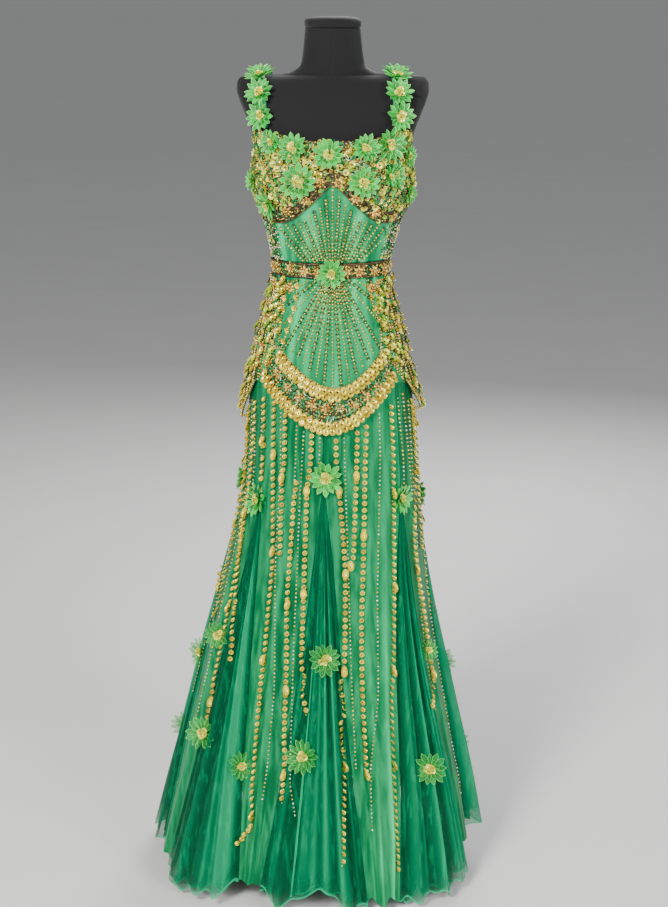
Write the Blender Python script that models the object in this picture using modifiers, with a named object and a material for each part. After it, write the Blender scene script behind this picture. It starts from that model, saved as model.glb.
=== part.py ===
"""An evening dress worn by a limbless dress form, as the pieces that a maker cuts and sews.

Metres, +Z up. The origin is the middle of the stand's underside, and the dress faces -Y.
Angles round the figure start at the front centre and grow towards +X, in degrees.
"""

import math
from collections import namedtuple

import bmesh
import bpy
from mathutils import Vector
from mathutils.bvhtree import BVHTree

# Cloth and its clearances
WALL = 0.0016
FORM_GAP = 0.0024
STRAP_GAP = 0.0009
SEAM_GAP = 0.0005
CLOTH_OUT = FORM_GAP + WALL
LAY_ON = 0.0007
# A piece laid on the dress clears the highest cloth within this reach of each of its points
TRIM_REACH = 0.010
FLOWER_REACH = 0.006
BELT_FLOWER_REACH = 0.014
# Walls and widths of the beaded and laid-on pieces
DRAPE_WALL = 0.0022
CRESCENT_WALL = 0.0030
# The smaller, the sharper the turn at the crescent's lowest point
CRESCENT_ROUNDING = 0.30
STRIP_WALL = 0.0012
STRIP_HALF_WIDTH = 0.009
BELT_PROUD = 0.0014
DRAPE_TIP_STANDS_OFF = 0.012
DRAPE_LIES_CLOSE = 1.03

# Heights of the garment's seams at the front centre
NECK_CENTRE = 1.4355
NECK_AT_STRAP = 1.4515
BACK_AT_STRAP = 1.386
UNDERARM = 1.369
BACK_CENTRE = 1.357
BUST_PEAK = 1.3615
BUST_FOOT = 1.288
BELT_TOP = 1.2155
BELT_FOOT = 1.1875
YOKE_FOOT_FRONT = 0.945
YOKE_FOOT_SIDE = 0.990

# Angles of the upright seams
SIDE_SEAM = 90.0
PRINCESS_SEAM = 58.0
BACK_SEAM = 180.0
YOKE_LOWEST = -5.0
YOKE_LEFT, YOKE_RIGHT = -50.0, 50.0

# The stand
FORM_FOOT = 0.860
POLE_RADIUS = 0.016
BASE_RADIUS = 0.150
BASE_THICKNESS = 0.012
HUB_RADIUS = 0.030
HUB_HEIGHT = 0.036
NECK_TOP = 1.6305
TOTAL_HEIGHT = 1.650

# Outlines of the dress form, bottom to top: half width, depth in front of and behind the axis,
# the power of the rounded outline and how far its middle lies to one side
Section = namedtuple("Section", "z half front back power lean")
FORM = (
    Section(0.860, 0.143, 0.098, 0.098, 2.2, -0.004),
    Section(0.920, 0.150, 0.109, 0.114, 2.2, -0.004),
    Section(0.980, 0.149, 0.114, 0.119, 2.2, -0.004),
    Section(1.035, 0.140, 0.114, 0.114, 2.2, -0.005),
    Section(1.080, 0.129, 0.109, 0.103, 2.2, -0.005),
    Section(1.125, 0.115, 0.100, 0.091, 2.2, -0.005),
    Section(1.165, 0.105, 0.091, 0.080, 2.2, -0.004),
    Section(1.200, 0.104, 0.088, 0.077, 2.2, -0.003),
    Section(1.240, 0.111, 0.090, 0.080, 2.3, -0.002),
    Section(1.280, 0.121, 0.094, 0.086, 2.3, -0.001),
    Section(1.315, 0.134, 0.099, 0.090, 2.4, 0.0),
    Section(1.345, 0.143, 0.102, 0.095, 2.4, 0.0),
    Section(1.375, 0.145, 0.104, 0.100, 2.5, 0.0),
    Section(1.405, 0.143, 0.102, 0.103, 2.6, 0.0),
    Section(1.435, 0.146, 0.098, 0.103, 2.9, 0.0),
    Section(1.470, 0.158, 0.089, 0.096, 3.1, 0.0),
    Section(1.500, 0.170, 0.076, 0.082, 3.0, 0.0),
    Section(1.520, 0.175, 0.065, 0.070, 2.5, 0.0),
    Section(1.533, 0.174, 0.056, 0.060, 2.0, 0.0),
    Section(1.540, 0.170, 0.050, 0.054, 1.6, 0.0),
    Section(1.544, 0.162, 0.047, 0.050, 1.25, 0.0),
    Section(1.546, 0.120, 0.046, 0.049, 1.2, 0.0),
    Section(1.552, 0.075, 0.046, 0.049, 1.7, 0.0),
    Section(1.565, 0.058, 0.046, 0.048, 2.0, 0.0),
    Section(1.6302, 0.050, 0.0465, 0.0475, 2.0, 0.0),
)
SHOULDER_RIDGE = 1.546
BUST_ACROSS, BUST_HEIGHT, BUST_RISE = 0.068, 1.350, 0.024
BUST_SPREAD_ACROSS, BUST_SPREAD_UP = 0.046, 0.050

# Outlines of the skirt under its folds, bottom to top
Flare = namedtuple("Flare", "z left right front back power")
SKIRT = (
    Flare(0.010, 0.347, 0.271, 0.256, 0.282, 2.25),
    Flare(0.150, 0.314, 0.251, 0.238, 0.258, 2.2),
    Flare(0.300, 0.280, 0.223, 0.210, 0.228, 2.15),
    Flare(0.450, 0.245, 0.196, 0.181, 0.194, 2.1),
    Flare(0.600, 0.210, 0.177, 0.155, 0.162, 2.1),
    Flare(0.720, 0.184, 0.168, 0.138, 0.142, 2.1),
    Flare(0.830, 0.166, 0.160, 0.126, 0.130, 2.2),
    Flare(0.920, 0.160, 0.154, 0.119, 0.124, 2.2),
)
SKIRT_STARTS, SKIRT_FREE = 0.985, 0.900

# Godets, the net triangles let in between the gores: depth is how far a fold stands out at the hem
Godet = namedtuple("Godet", "name angle half_width apex folds")
GODETS = (
    Godet("front", YOKE_LOWEST, 16.5, 0.800, ((0.22, 0.020), (0.50, 0.026), (0.78, 0.019))),
    Godet("front_right", YOKE_RIGHT, 24.5, 0.765, ((0.18, 0.020), (0.40, 0.027), (0.62, 0.024), (0.83, 0.018))),
    Godet("side_right", 97, 15.0, 0.740, ((0.24, 0.026), (0.53, 0.034), (0.80, 0.022))),
    Godet("back_right", 153, 20.0, 0.770, ((0.20, 0.020), (0.47, 0.030), (0.77, 0.026))),
    Godet("back_left", 207, 20.0, 0.770, ((0.22, 0.026), (0.50, 0.030), (0.80, 0.019))),
    Godet("side_left", 261, 19.0, 0.775, ((0.23, 0.028), (0.50, 0.036), (0.78, 0.024))),
    Godet("front_left", YOKE_LEFT + 360, 21.0, 0.765, ((0.17, 0.018), (0.38, 0.026), (0.61, 0.029), (0.83, 0.020))),
)
# Gores, the satin panels between the godets, each named for where it hangs
Gore = namedtuple("Gore", "name godet_before godet_after folds")
GORES = (
    Gore("front_right", "front", "front_right", ((0.52, 0.016),)),
    Gore("side_right", "front_right", "side_right", ((0.48, 0.009),)),
    Gore("back_right", "side_right", "back_right", ((0.50, 0.016),)),
    Gore("back", "back_right", "back_left", ((0.46, 0.014),)),
    Gore("back_left", "back_left", "side_left", ((0.54, 0.013),)),
    Gore("side_left", "side_left", "front_left", ((0.52, 0.009),)),
    Gore("front_left", "front_left", "front", ((0.47, 0.010),)),
)
# Below 1, so that the gathered net opens at once under its point
GODET_OPENS = 0.72
GODET_TOP_HALF_WIDTH = 0.0024
GODET_ROWS, ROWS_ABOVE_GODETS = 6, 3

# Height of the hem round the skirt
Hem = namedtuple("Hem", "z height")
HEM = (
    Hem(-180, 0.020), Hem(-130, 0.020), Hem(-104, 0.030), Hem(-88, 0.040), Hem(-76, 0.044),
    Hem(-66, 0.018), Hem(-56, 0.012), Hem(-46, 0.020), Hem(-36, 0.026), Hem(-29, 0.054),
    Hem(-21, 0.048), Hem(-15, 0.012), Hem(-11, 0.030), Hem(-5, 0.052), Hem(0, 0.040),
    Hem(5, 0.010), Hem(10, 0.012), Hem(13, 0.030), Hem(17, 0.012), Hem(20, 0.032),
    Hem(25, 0.014), Hem(40, 0.020), Hem(52, 0.014), Hem(63, 0.028), Hem(75, 0.056),
    Hem(90, 0.076), Hem(104, 0.068), Hem(120, 0.036), Hem(140, 0.020), Hem(180, 0.020),
)

# Flowers sewn on the cloth: angle and height of the middle, and radius
Flower = namedtuple("Flower", "name angle z radius")
FLOWERS = (
    Flower("bust_far_left", -40, 1.432, 0.020),
    Flower("bust_left", -22, 1.422, 0.023),
    Flower("bust_centre", -2, 1.411, 0.026),
    Flower("bust_right", 17, 1.422, 0.022),
    Flower("bust_far_right", 37, 1.428, 0.026),
    Flower("cup_left", -21, 1.363, 0.031),
    Flower("cup_right", 18, 1.363, 0.026),
    Flower("cup_side_right", 43, 1.374, 0.023),
    Flower("cup_side_left", -53, 1.320, 0.025),
    Flower("belt", 0, 1.198, 0.026),
    Flower("godet_front", -4, 0.820, 0.030),
    Flower("godet_front_right", 50, 0.770, 0.027),
    Flower("godet_side_right", 100, 0.752, 0.027),
    Flower("godet_back_right", 154, 0.782, 0.027),
    Flower("godet_back_left", 205, 0.782, 0.027),
    Flower("godet_side_left", 261, 0.784, 0.027),
    Flower("godet_front_left", 306, 0.766, 0.028),
)
PETALS, STRAP_PETALS = 9, 7

# Shoulder straps: where they cross the ridge and where they meet the bodice, across the figure
Strap = namedtuple("Strap", "name ridge_x front_x back_x")
STRAPS = (
    Strap("left", -0.135, -0.125, -0.112),
    Strap("right", 0.114, 0.119, 0.112),
)
STRAP_WIDTH = 0.020
STRAP_WALL = 0.0030
STRAP_FLOWER_RADIUS = 0.0230
STRAP_FLOWER_SINK = 0.0020
STRAP_FLOWER_PITCH = 0.0475
STRAP_FRONT_FOOT, STRAP_BACK_FOOT = 1.4570, 1.3900

BLACK_FABRIC = ("black jersey", (0.012, 0.012, 0.013), 0.75, 0.0)
BLACK_METAL = ("black painted steel", (0.010, 0.010, 0.011), 0.35, 0.6)
SATIN = ("emerald satin", (0.02, 0.42, 0.20), 0.35, 0.0)
NET = ("green net", (0.01, 0.28, 0.14), 0.60, 0.0)
BEADED = ("beaded net", (0.16, 0.17, 0.06), 0.50, 0.3)
PAILLETTE = ("gold paillettes", (0.80, 0.62, 0.22), 0.25, 0.8)
PETAL = ("green petals", (0.12, 0.62, 0.26), 0.40, 0.0)

collection = None
joined_in = None
# Corners and faces of the cloth made so far, which later pieces are laid on
laid_corners = []
laid_faces = []
# The dress form's corners and faces, which the straps are laid on
form_corners = []
form_faces = []


def smooth(low, high, value):
    """0 below low, 1 above high, and an even curve between."""
    share = min(1.0, max(0.0, (value - low) / (high - low)))
    return share * share * (3 - 2 * share)


def row_at(rows, place):
    """The row of a table at any place along its first column, on a curve that never overshoots."""
    place = min(max(place, rows[0][0]), rows[-1][0])
    after = next(i for i in range(1, len(rows)) if place <= rows[i][0])
    span = rows[after][0] - rows[after - 1][0]
    share = (place - rows[after - 1][0]) / span

    def rise(i, column):
        return (rows[i + 1][column] - rows[i][column]) / (rows[i + 1][0] - rows[i][0])

    def slope(i, column):
        if i == 0 or i == len(rows) - 1:
            return rise(min(i, len(rows) - 2), column)
        before, behind = rise(i - 1, column), rise(i, column)
        return 0.0 if before * behind <= 0 else 2 * before * behind / (before + behind)

    values = [place]
    for column in range(1, len(rows[0])):
        start, end = rows[after - 1][column], rows[after][column]
        leave, arrive = slope(after - 1, column) * span, slope(after, column) * span
        values.append(
            start * (1 + 2 * share) * (1 - share) ** 2
            + leave * share * (1 - share) ** 2
            + end * share**2 * (3 - 2 * share)
            + arrive * share**2 * (share - 1)
        )
    return type(rows[0])(*values)


def turned(angle):
    """An angle in degrees brought into -180 to 180."""
    return (angle + 180.0) % 360.0 - 180.0


def oval(angle, z, left, right, front, back, power):
    """A point on a rounded outline with its own reach on each of the four sides."""
    across, ahead = math.sin(math.radians(angle)), math.cos(math.radians(angle))
    reach_x = right if across > 0 else left
    reach_y = front if ahead > 0 else back
    x = reach_x * math.copysign(abs(across) ** (2 / power), across)
    y = -reach_y * math.copysign(abs(ahead) ** (2 / power), ahead)
    return Vector((x, y, z))


def bust(x, z):
    """How far the bust stands out in front of the plain outline."""
    across = (abs(x) - BUST_ACROSS) / BUST_SPREAD_ACROSS
    up = (z - BUST_HEIGHT) / BUST_SPREAD_UP
    return BUST_RISE * math.exp(-across * across - up * up)


def form_point(angle, z):
    """A point on the dress form."""
    row = row_at(FORM, z)
    point = oval(angle, z, row.half, row.half, row.front, row.back, row.power)
    facing = smooth(0.0, 0.35, math.cos(math.radians(angle)))
    point.y -= bust(point.x, z) * facing
    point.x += row.lean
    return point


def outward(surface, angle, z):
    """The level direction that leads straight out of a surface."""
    step = 0.5
    along = surface(angle + step, z) - surface(angle - step, z)
    return Vector((along.y, -along.x, 0.0)).normalized()


def worn_point(angle, z):
    """The outside of cloth that fits the dress form closely."""
    return form_point(angle, z) + outward(form_point, angle, z) * CLOTH_OUT


def base_point(angle, z):
    """The outside of the dress without folds: it fits down to the hips and then hangs free."""
    free = 1 - smooth(SKIRT_FREE, SKIRT_STARTS, z)
    if free == 0:
        return worn_point(angle, z)
    row = row_at(SKIRT, z)
    hanging = oval(angle, z, row.left, row.right, row.front, row.back, row.power)
    return hanging if free == 1 else worn_point(angle, z).lerp(hanging, free)


def lifted(angle, z, out):
    """A point at a distance outside the dress."""
    return base_point(angle, z) + outward(base_point, angle, z) * out


def hem_height(angle):
    """Height of the hem above the floor."""
    return row_at(HEM, turned(angle)).height


def neckline(angle):
    """Height of the bodice's upper edge."""
    side = abs(turned(angle))
    if side <= SIDE_SEAM:
        front = NECK_CENTRE + (NECK_AT_STRAP - NECK_CENTRE) * smooth(8, 44, side)
        return front - (NECK_AT_STRAP - UNDERARM) * smooth(60, SIDE_SEAM, side)
    rise = (BACK_AT_STRAP - UNDERARM) * smooth(SIDE_SEAM, 122, side)
    return UNDERARM + rise - (BACK_AT_STRAP - BACK_CENTRE) * smooth(130, 176, side)


def bust_seam(angle):
    """Height of the seam under the bust, which rises to a peak at the front centre."""
    side = abs(turned(angle))
    peak = (BUST_PEAK - BUST_FOOT) * max(0.0, 1 - side / 48.0) ** 2.2
    return BUST_FOOT + peak


def yoke_foot(angle):
    """Height of the seam between the hip yoke and the skirt, a shallow V in front."""
    side = turned(angle) - YOKE_LOWEST
    reach = YOKE_RIGHT - YOKE_LOWEST if side > 0 else YOKE_LEFT - YOKE_LOWEST
    return YOKE_FOOT_FRONT + (YOKE_FOOT_SIDE - YOKE_FOOT_FRONT) * min(1.0, side / reach)


def godet_named(name):
    return next(godet for godet in GODETS if godet.name == name)


def godet_half_angle(godet, z):
    """Half the angle that a godet fills at a height: none above its point, all at the hem."""
    drop = max(0.0, (godet.apex - z) / (godet.apex - hem_height(godet.angle)))
    return godet.half_width * drop ** GODET_OPENS


def fold_depth(folds, share, drop, narrow, flat):
    """How far the cloth stands out at a share of a panel's width, below the point where its folds start.

    It lies flat for a share of the width beside each seam.
    """
    total = 0.0
    for middle, depth in folds:
        total += depth * math.exp(-(((share - middle) / narrow) ** 2))
    from_seam = min(share, 1 - share)
    return total * smooth(flat, flat + 0.14, from_seam) * max(0.0, drop)


def gap_angle(angle, z, gap):
    """The angle that a small distance along the dress takes up."""
    step = 1.0
    return gap * step / (base_point(angle + step, z) - base_point(angle, z)).length


def new_material(look):
    name, colour, roughness, metallic = look
    material = bpy.data.materials.get(name) or bpy.data.materials.new(name)
    material.use_nodes = True
    shader = material.node_tree.nodes["Principled BSDF"]
    shader.inputs["Base Color"].default_value = (*colour, 1.0)
    shader.inputs["Roughness"].default_value = roughness
    shader.inputs["Metallic"].default_value = metallic
    return material


def add_object(name, bm, look, into=None):
    """Turns a finished bmesh into a named object with its material."""
    mesh = bpy.data.meshes.new(name)
    bm.to_mesh(mesh)
    bm.free()
    mesh.shade_smooth()
    obj = bpy.data.objects.new(name, mesh)
    obj.data.materials.append(new_material(look))
    (into or collection).objects.link(obj)
    return obj


def placed_grid(columns, rows, place):
    """A grid whose points are moved to place(u, v), with u and v from 0 to 1."""
    bm = bmesh.new()
    bmesh.ops.create_grid(bm, x_segments=columns, y_segments=rows, size=0.5)
    for vert in bm.verts:
        vert.co = place(vert.co.x + 0.5, vert.co.y + 0.5)
    return bm


def cloth(name, columns, rows, place, look=SATIN, wall=WALL):
    """A cloth panel: an open sheet on its outside, thickened inwards."""
    bm = placed_grid(columns, rows, place)
    bmesh.ops.triangulate(bm, faces=bm.faces)
    bm.verts.index_update()
    first = len(laid_corners)
    laid_corners.extend(vert.co.copy() for vert in bm.verts)
    laid_faces.extend([first + vert.index for vert in face.verts] for face in bm.faces)
    obj = add_object(name, bm, look)
    solidify = obj.modifiers.new("wall", "SOLIDIFY")
    solidify.thickness = wall
    solidify.offset = -1
    return obj


def fitted_panel(name, left, right, low, high, columns, rows, look=SATIN, corner=None):
    """A panel of the fitted part between two upright seams, low(angle) and high(angle).

    Half of its columns lie on each side of the corner, an angle where its lower edge turns.
    """

    def place(u, v):
        if corner is not None:
            share = (corner - left) / (right - left)
            u = 2 * u * share if u < 0.5 else share + (2 * u - 1) * (1 - share)
        middle = left + (right - left) * u
        bottom, top = low(middle) + SEAM_GAP / 2, high(middle) - SEAM_GAP / 2
        z = bottom + (top - bottom) * v
        inset = gap_angle(middle, z, SEAM_GAP / 2)
        return base_point(left + inset + (right - left - 2 * inset) * u, z)

    return cloth(name, columns, rows, place, look)


def cloth_under():
    """The cloth made so far as a tree that rays can be cast on."""
    return BVHTree.FromPolygons(laid_corners, laid_faces)


def height_of_cloth(tree, angle, z, reach):
    """How far the cloth under a point stands out, the most that it does within a reach around it."""
    away, most = 0.12, 0.0
    turn = gap_angle(angle, z, reach)
    around = [(0.0, 0.0)] + [(math.cos(k * math.pi / 4), math.sin(k * math.pi / 4)) for k in range(8)]
    for across, up in around:
        here, level = angle + across * turn, z + up * reach
        direction = outward(base_point, here, level)
        distance = tree.ray_cast(base_point(here, level) + direction * away, -direction, 0.2)[3]
        if distance is not None:
            most = max(most, away - distance)
    return most


def overlay(name, place_flat, columns, rows, wall, look, out=None):
    """Cloth that lies on the dress: place_flat(u, v) gives its angle and height, out(u, v) stands it off."""
    tree = cloth_under()

    def place(u, v):
        angle, z = place_flat(u, v)
        away = 0.0 if out is None else out(u, v)
        return lifted(angle, z, height_of_cloth(tree, angle, z, TRIM_REACH) + LAY_ON + wall + away)

    return cloth(name, columns, rows, place, look, wall)


def make_form():
    """The torso and neck, one smooth closed body."""
    columns = 26
    heights = [row.z for row in FORM]
    bm = placed_grid(
        columns, len(heights) - 1,
        lambda u, v: form_point(360 * u, heights[round(v * (len(heights) - 1))]),
    )
    bmesh.ops.remove_doubles(bm, verts=bm.verts, dist=0.0001)
    bmesh.ops.holes_fill(bm, edges=bm.edges, sides=columns)
    bmesh.ops.recalc_face_normals(bm, faces=bm.faces)
    bmesh.ops.triangulate(bm, faces=bm.faces)
    bm.verts.index_update()
    form_corners.extend(vert.co.copy() for vert in bm.verts)
    form_faces.extend([vert.index for vert in face.verts] for face in bm.faces)
    return add_object("form_torso", bm, BLACK_FABRIC)


def turned_shape(name, profile, steps, look):
    """A round piece from a half outline that runs down its outer side."""
    bm = bmesh.new()
    corners = [bm.verts.new((radius, 0.0, z)) for radius, z in profile]
    for first, second in zip(corners, corners[1:]):
        bm.edges.new((first, second))
    obj = add_object(name, bm, look)
    screw = obj.modifiers.new("turn", "SCREW")
    screw.steps = screw.render_steps = steps
    screw.use_merge_vertices = True
    screw.merge_threshold = 0.00001
    return obj


def make_stand():
    """The neck's cap, the pole and the flat base."""
    cap_radius, cap_foot, dome = 0.0515, NECK_TOP, 0.004
    turned_shape(
        "form_neck_cap",
        (
            (0.0, TOTAL_HEIGHT), (0.026, TOTAL_HEIGHT - 0.001), (cap_radius - 0.004, TOTAL_HEIGHT - dome),
            (cap_radius, TOTAL_HEIGHT - dome - 0.003), (cap_radius, cap_foot), (0.0, cap_foot),
        ),
        28, BLACK_FABRIC,
    )
    turned_shape(
        "stand_base",
        (
            (0.0, HUB_HEIGHT), (HUB_RADIUS - 0.006, HUB_HEIGHT), (HUB_RADIUS, HUB_HEIGHT - 0.006),
            (HUB_RADIUS + 0.002, BASE_THICKNESS + 0.004), (HUB_RADIUS + 0.010, BASE_THICKNESS),
            (BASE_RADIUS - 0.004, BASE_THICKNESS - 0.002), (BASE_RADIUS, BASE_THICKNESS - 0.006),
            (BASE_RADIUS, 0.0), (0.0, 0.0),
        ),
        28, BLACK_METAL,
    )
    foot, top = HUB_HEIGHT + 0.0003, FORM_FOOT - 0.0003
    bm = bmesh.new()
    bmesh.ops.create_cone(
        bm, cap_ends=True, segments=16, radius1=POLE_RADIUS, radius2=POLE_RADIUS, depth=top - foot
    )
    bmesh.ops.translate(bm, verts=bm.verts, vec=(0.0, 0.0, (top + foot) / 2))
    add_object("stand_pole", bm, BLACK_METAL)


def make_bodice():
    """The bust piece, the midriff, the back and its closing strips."""
    fitted_panel("bust_front", -SIDE_SEAM, SIDE_SEAM, bust_seam, neckline, 24, 6, BEADED)
    belt_top = lambda angle: BELT_TOP
    fitted_panel("midriff_front", -PRINCESS_SEAM, PRINCESS_SEAM, belt_top, bust_seam, 12, 4)
    fitted_panel("midriff_side_left", -SIDE_SEAM, -PRINCESS_SEAM, belt_top, bust_seam, 4, 4, BEADED)
    fitted_panel("midriff_side_right", PRINCESS_SEAM, SIDE_SEAM, belt_top, bust_seam, 4, 4, BEADED)
    fitted_panel("bodice_back_left", BACK_SEAM, 360 - SIDE_SEAM, belt_top, neckline, 10, 6, BEADED)
    fitted_panel("bodice_back_right", SIDE_SEAM, BACK_SEAM, belt_top, neckline, 10, 6, BEADED)
    closing_strip("closing_strip_back", BELT_TOP + 0.001, BACK_CENTRE - 0.004, 4)


def closing_strip(name, foot, top, rows):
    """The strip over the hooks and eyes at the centre back."""

    def place_flat(u, v):
        z = foot + (top - foot) * v
        half = gap_angle(BACK_SEAM, z, STRIP_HALF_WIDTH)
        return BACK_SEAM - half + 2 * half * u, z

    overlay(name, place_flat, 2, rows, STRIP_WALL, SATIN)


def make_belt():
    """The beaded waistband, let in between bodice and yoke and thicker than they are."""
    ends_apart = 0.15

    def place(u, v):
        angle = BACK_SEAM + ends_apart + (360 - 2 * ends_apart) * u
        z = BELT_FOOT + SEAM_GAP / 2 + (BELT_TOP - BELT_FOOT - SEAM_GAP) * v
        return lifted(angle, z, BELT_PROUD)

    cloth("waist_belt", 40, 1, place, BEADED, WALL + BELT_PROUD)


def make_yoke():
    """The hip yoke, cut in three."""
    belt_foot = lambda angle: BELT_FOOT
    fitted_panel("yoke_front", YOKE_LEFT, YOKE_RIGHT, yoke_foot, belt_foot, 14, 5, SATIN, YOKE_LOWEST)
    fitted_panel("yoke_back_left", BACK_SEAM, 360 + YOKE_LEFT, yoke_foot, belt_foot, 12, 5)
    fitted_panel("yoke_back_right", YOKE_RIGHT, BACK_SEAM, yoke_foot, belt_foot, 12, 5)


def make_hip_trim():
    """The closing strip and the beaded pieces that lie over the yoke and its seam."""
    closing_strip("closing_strip_hip", YOKE_FOOT_SIDE + 0.001, BELT_FOOT - 0.001, 4)
    hip_drape("hip_drape_left", -118, -62, -82, 0.912)
    hip_drape("hip_drape_right", 62, 118, 84, 0.926)
    make_crescent()


def hip_drape(name, left, right, tip_angle, tip_z):
    """A beaded piece over the hip that ends in a point, standing a little off the skirt."""
    shoulder_z, top = 0.992, BELT_FOOT - 0.002

    def place_flat(u, v):
        angle = left + (right - left) * u
        corner = left if angle < tip_angle else right
        away = (tip_angle - angle) / (tip_angle - corner)
        bottom = tip_z + (shoulder_z - tip_z) * away
        return angle, bottom + (top - bottom) * v

    def out(u, v):
        angle, z = place_flat(u, v)
        return DRAPE_TIP_STANDS_OFF * (1 - smooth(tip_z, DRAPE_LIES_CLOSE, z))

    overlay(name, place_flat, 8, 5, DRAPE_WALL, BEADED, out)


def crescent_edge(share, middle, half_angle, foot, rise):
    """A point on one edge of the crescent, with share from -1 at its left tip to 1 at its right."""
    climb = math.hypot(share, CRESCENT_ROUNDING) - CRESCENT_ROUNDING
    return middle + half_angle * share, foot + rise * climb / (math.hypot(1, CRESCENT_ROUNDING) - CRESCENT_ROUNDING)


def make_crescent():
    """The deep crescent of paillettes under the front of the yoke."""

    def place_flat(u, v):
        share = 2 * u - 1
        low = crescent_edge(share, -2.0, 52.0, 0.904, 0.102)
        high = crescent_edge(share, 2.0, 40.0, 0.985, 0.068)
        return low[0] + (high[0] - low[0]) * v, low[1] + (high[1] - low[1]) * v

    overlay("crescent", place_flat, 20, 3, CRESCENT_WALL, PAILLETTE)


def skirt_gap(angle, z):
    return gap_angle(angle, z, SEAM_GAP / 2)


def godet_top(godet):
    """Height of a godet's narrow top, just under the point where its two seams meet."""
    top = godet.apex
    while gap_angle(godet.angle, top, 2 * GODET_TOP_HALF_WIDTH) > 2 * godet_half_angle(godet, top):
        top -= 0.002
    return top


def make_gore(gore):
    """A satin gore from the yoke to the hem, between the godets on its two sides."""
    before, after = godet_named(gore.godet_before), godet_named(gore.godet_after)
    start, end = before.angle, after.angle
    if end < start:
        end += 360.0

    top_before, top_after = godet_top(before), godet_top(after)
    godet_share = GODET_ROWS / (GODET_ROWS + ROWS_ABOVE_GODETS)

    def place(u, v):
        hem_left, hem_right = start + before.half_width, end - after.half_width
        bottom = hem_height(hem_left + (hem_right - hem_left) * u)
        middle = top_before + (top_after - top_before) * u
        top = yoke_foot(start + (end - start) * u) - SEAM_GAP / 2
        # Its rows meet those of the godets, so the seams' two edges run side by side
        if v <= godet_share:
            z = bottom + (middle - bottom) * v / godet_share
        else:
            z = middle + (top - middle) * (v - godet_share) / (1 - godet_share)
        left = start + godet_half_angle(before, z) + skirt_gap(start, z)
        right = end - godet_half_angle(after, z) - skirt_gap(end, z)
        drop = (SKIRT_FREE - z) / SKIRT_FREE
        return lifted(left + (right - left) * u, z, fold_depth(gore.folds, u, drop, 0.17, 0.13))

    cloth("gore_" + gore.name, 7, GODET_ROWS + ROWS_ABOVE_GODETS, place)


def make_godet(godet):
    """A net godet, a triangle gathered into folds."""
    top = godet_top(godet)

    def place(u, v):
        start = godet.angle
        bottom = hem_height(start + godet.half_width * (2 * u - 1))
        z = bottom + (top - bottom) * v
        half = godet_half_angle(godet, z) - skirt_gap(start, z)
        drop = (godet.apex - z) / godet.apex
        angle = start + half * (2 * u - 1)
        return lifted(angle, z, fold_depth(godet.folds, u, drop, 0.11, 0.08))

    cloth("godet_" + godet.name, 4 * len(godet.folds), GODET_ROWS, place, NET)


def petal_disc(radius, petals, spread):
    """A star of petals as a closed bmesh; spread(x, y, height) sets its points on a surface."""
    bm = bmesh.new()
    sides = 2 * petals
    rim = bmesh.ops.create_circle(bm, cap_ends=True, radius=1.0, segments=sides)["verts"]
    front = rim[0].link_faces[0]
    back = bmesh.ops.extrude_face_region(bm, geom=[front])["geom"]
    back_rim = {item for item in back if isinstance(item, bmesh.types.BMVert)}
    back_face = next(item for item in back if isinstance(item, bmesh.types.BMFace))
    bmesh.ops.inset_individual(bm, faces=[front], thickness=0.5)
    in_front = set(bm.verts) - back_rim
    bmesh.ops.inset_individual(bm, faces=[back_face], thickness=0.5)
    middle = bmesh.ops.poke(bm, faces=[front])["verts"]
    in_front.update(middle)
    bmesh.ops.poke(bm, faces=[back_face])
    for vert in bm.verts:
        ring = vert.co.xy.length
        turn = math.atan2(vert.co.x, vert.co.y)
        tip = round(turn / (math.pi / petals)) % 2 == 0
        if ring > 0.9:
            reach, height = (1.0, 0.0030) if tip else (0.66, 0.0016)
        elif ring > 0.1:
            reach, height = (0.42, 0.0052) if tip else (0.42, 0.0036)
        else:
            reach, height = 0.0, 0.0074
        if vert not in in_front:
            height = 0.0
        vert.co = spread(reach * radius * math.sin(turn), reach * radius * math.cos(turn), height)
    bmesh.ops.recalc_face_normals(bm, faces=bm.faces)
    return bm


def make_flower(flower):
    """A flower sewn on the dress, which follows the cloth under it."""
    tree = cloth_under()
    reach = BELT_FLOWER_REACH if flower.name == "belt" else FLOWER_REACH

    def spread(x, y, height):
        z = flower.z + y
        angle = flower.angle + math.copysign(gap_angle(flower.angle, z, abs(x)), x)
        return lifted(angle, z, height_of_cloth(tree, angle, z, reach) + LAY_ON + height)

    add_object("flower_" + flower.name, petal_disc(flower.radius, PETALS, spread), PETAL)


def shoulder_path(x, distance):
    """A point and its outward direction on the form's shoulder, at a distance along it from the ridge.

    The path runs at one distance across the figure, forwards below 0 and backwards above.
    """
    behind = distance > 0
    step = 0.004

    def point_at(height):
        row = row_at(FORM, height)
        across = min(0.97, abs(x) / row.half)
        depth = (row.back if behind else row.front) * (1 - across**row.power) ** (1 / row.power)
        return Vector((x, depth if behind else -depth - bust(x, height), height))

    height, travelled = SHOULDER_RIDGE, 0.0
    before = Vector((x, 0.0, height))
    while True:
        after = point_at(height)
        length = (after - before).length
        if travelled + length >= abs(distance):
            along = (after - before).normalized()
            outward_way = Vector((0.0, -along.z, along.y)) if behind else Vector((0.0, along.z, -along.y))
            return before + along * (abs(distance) - travelled), outward_way
        travelled += length
        before, height = after, height - step


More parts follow.
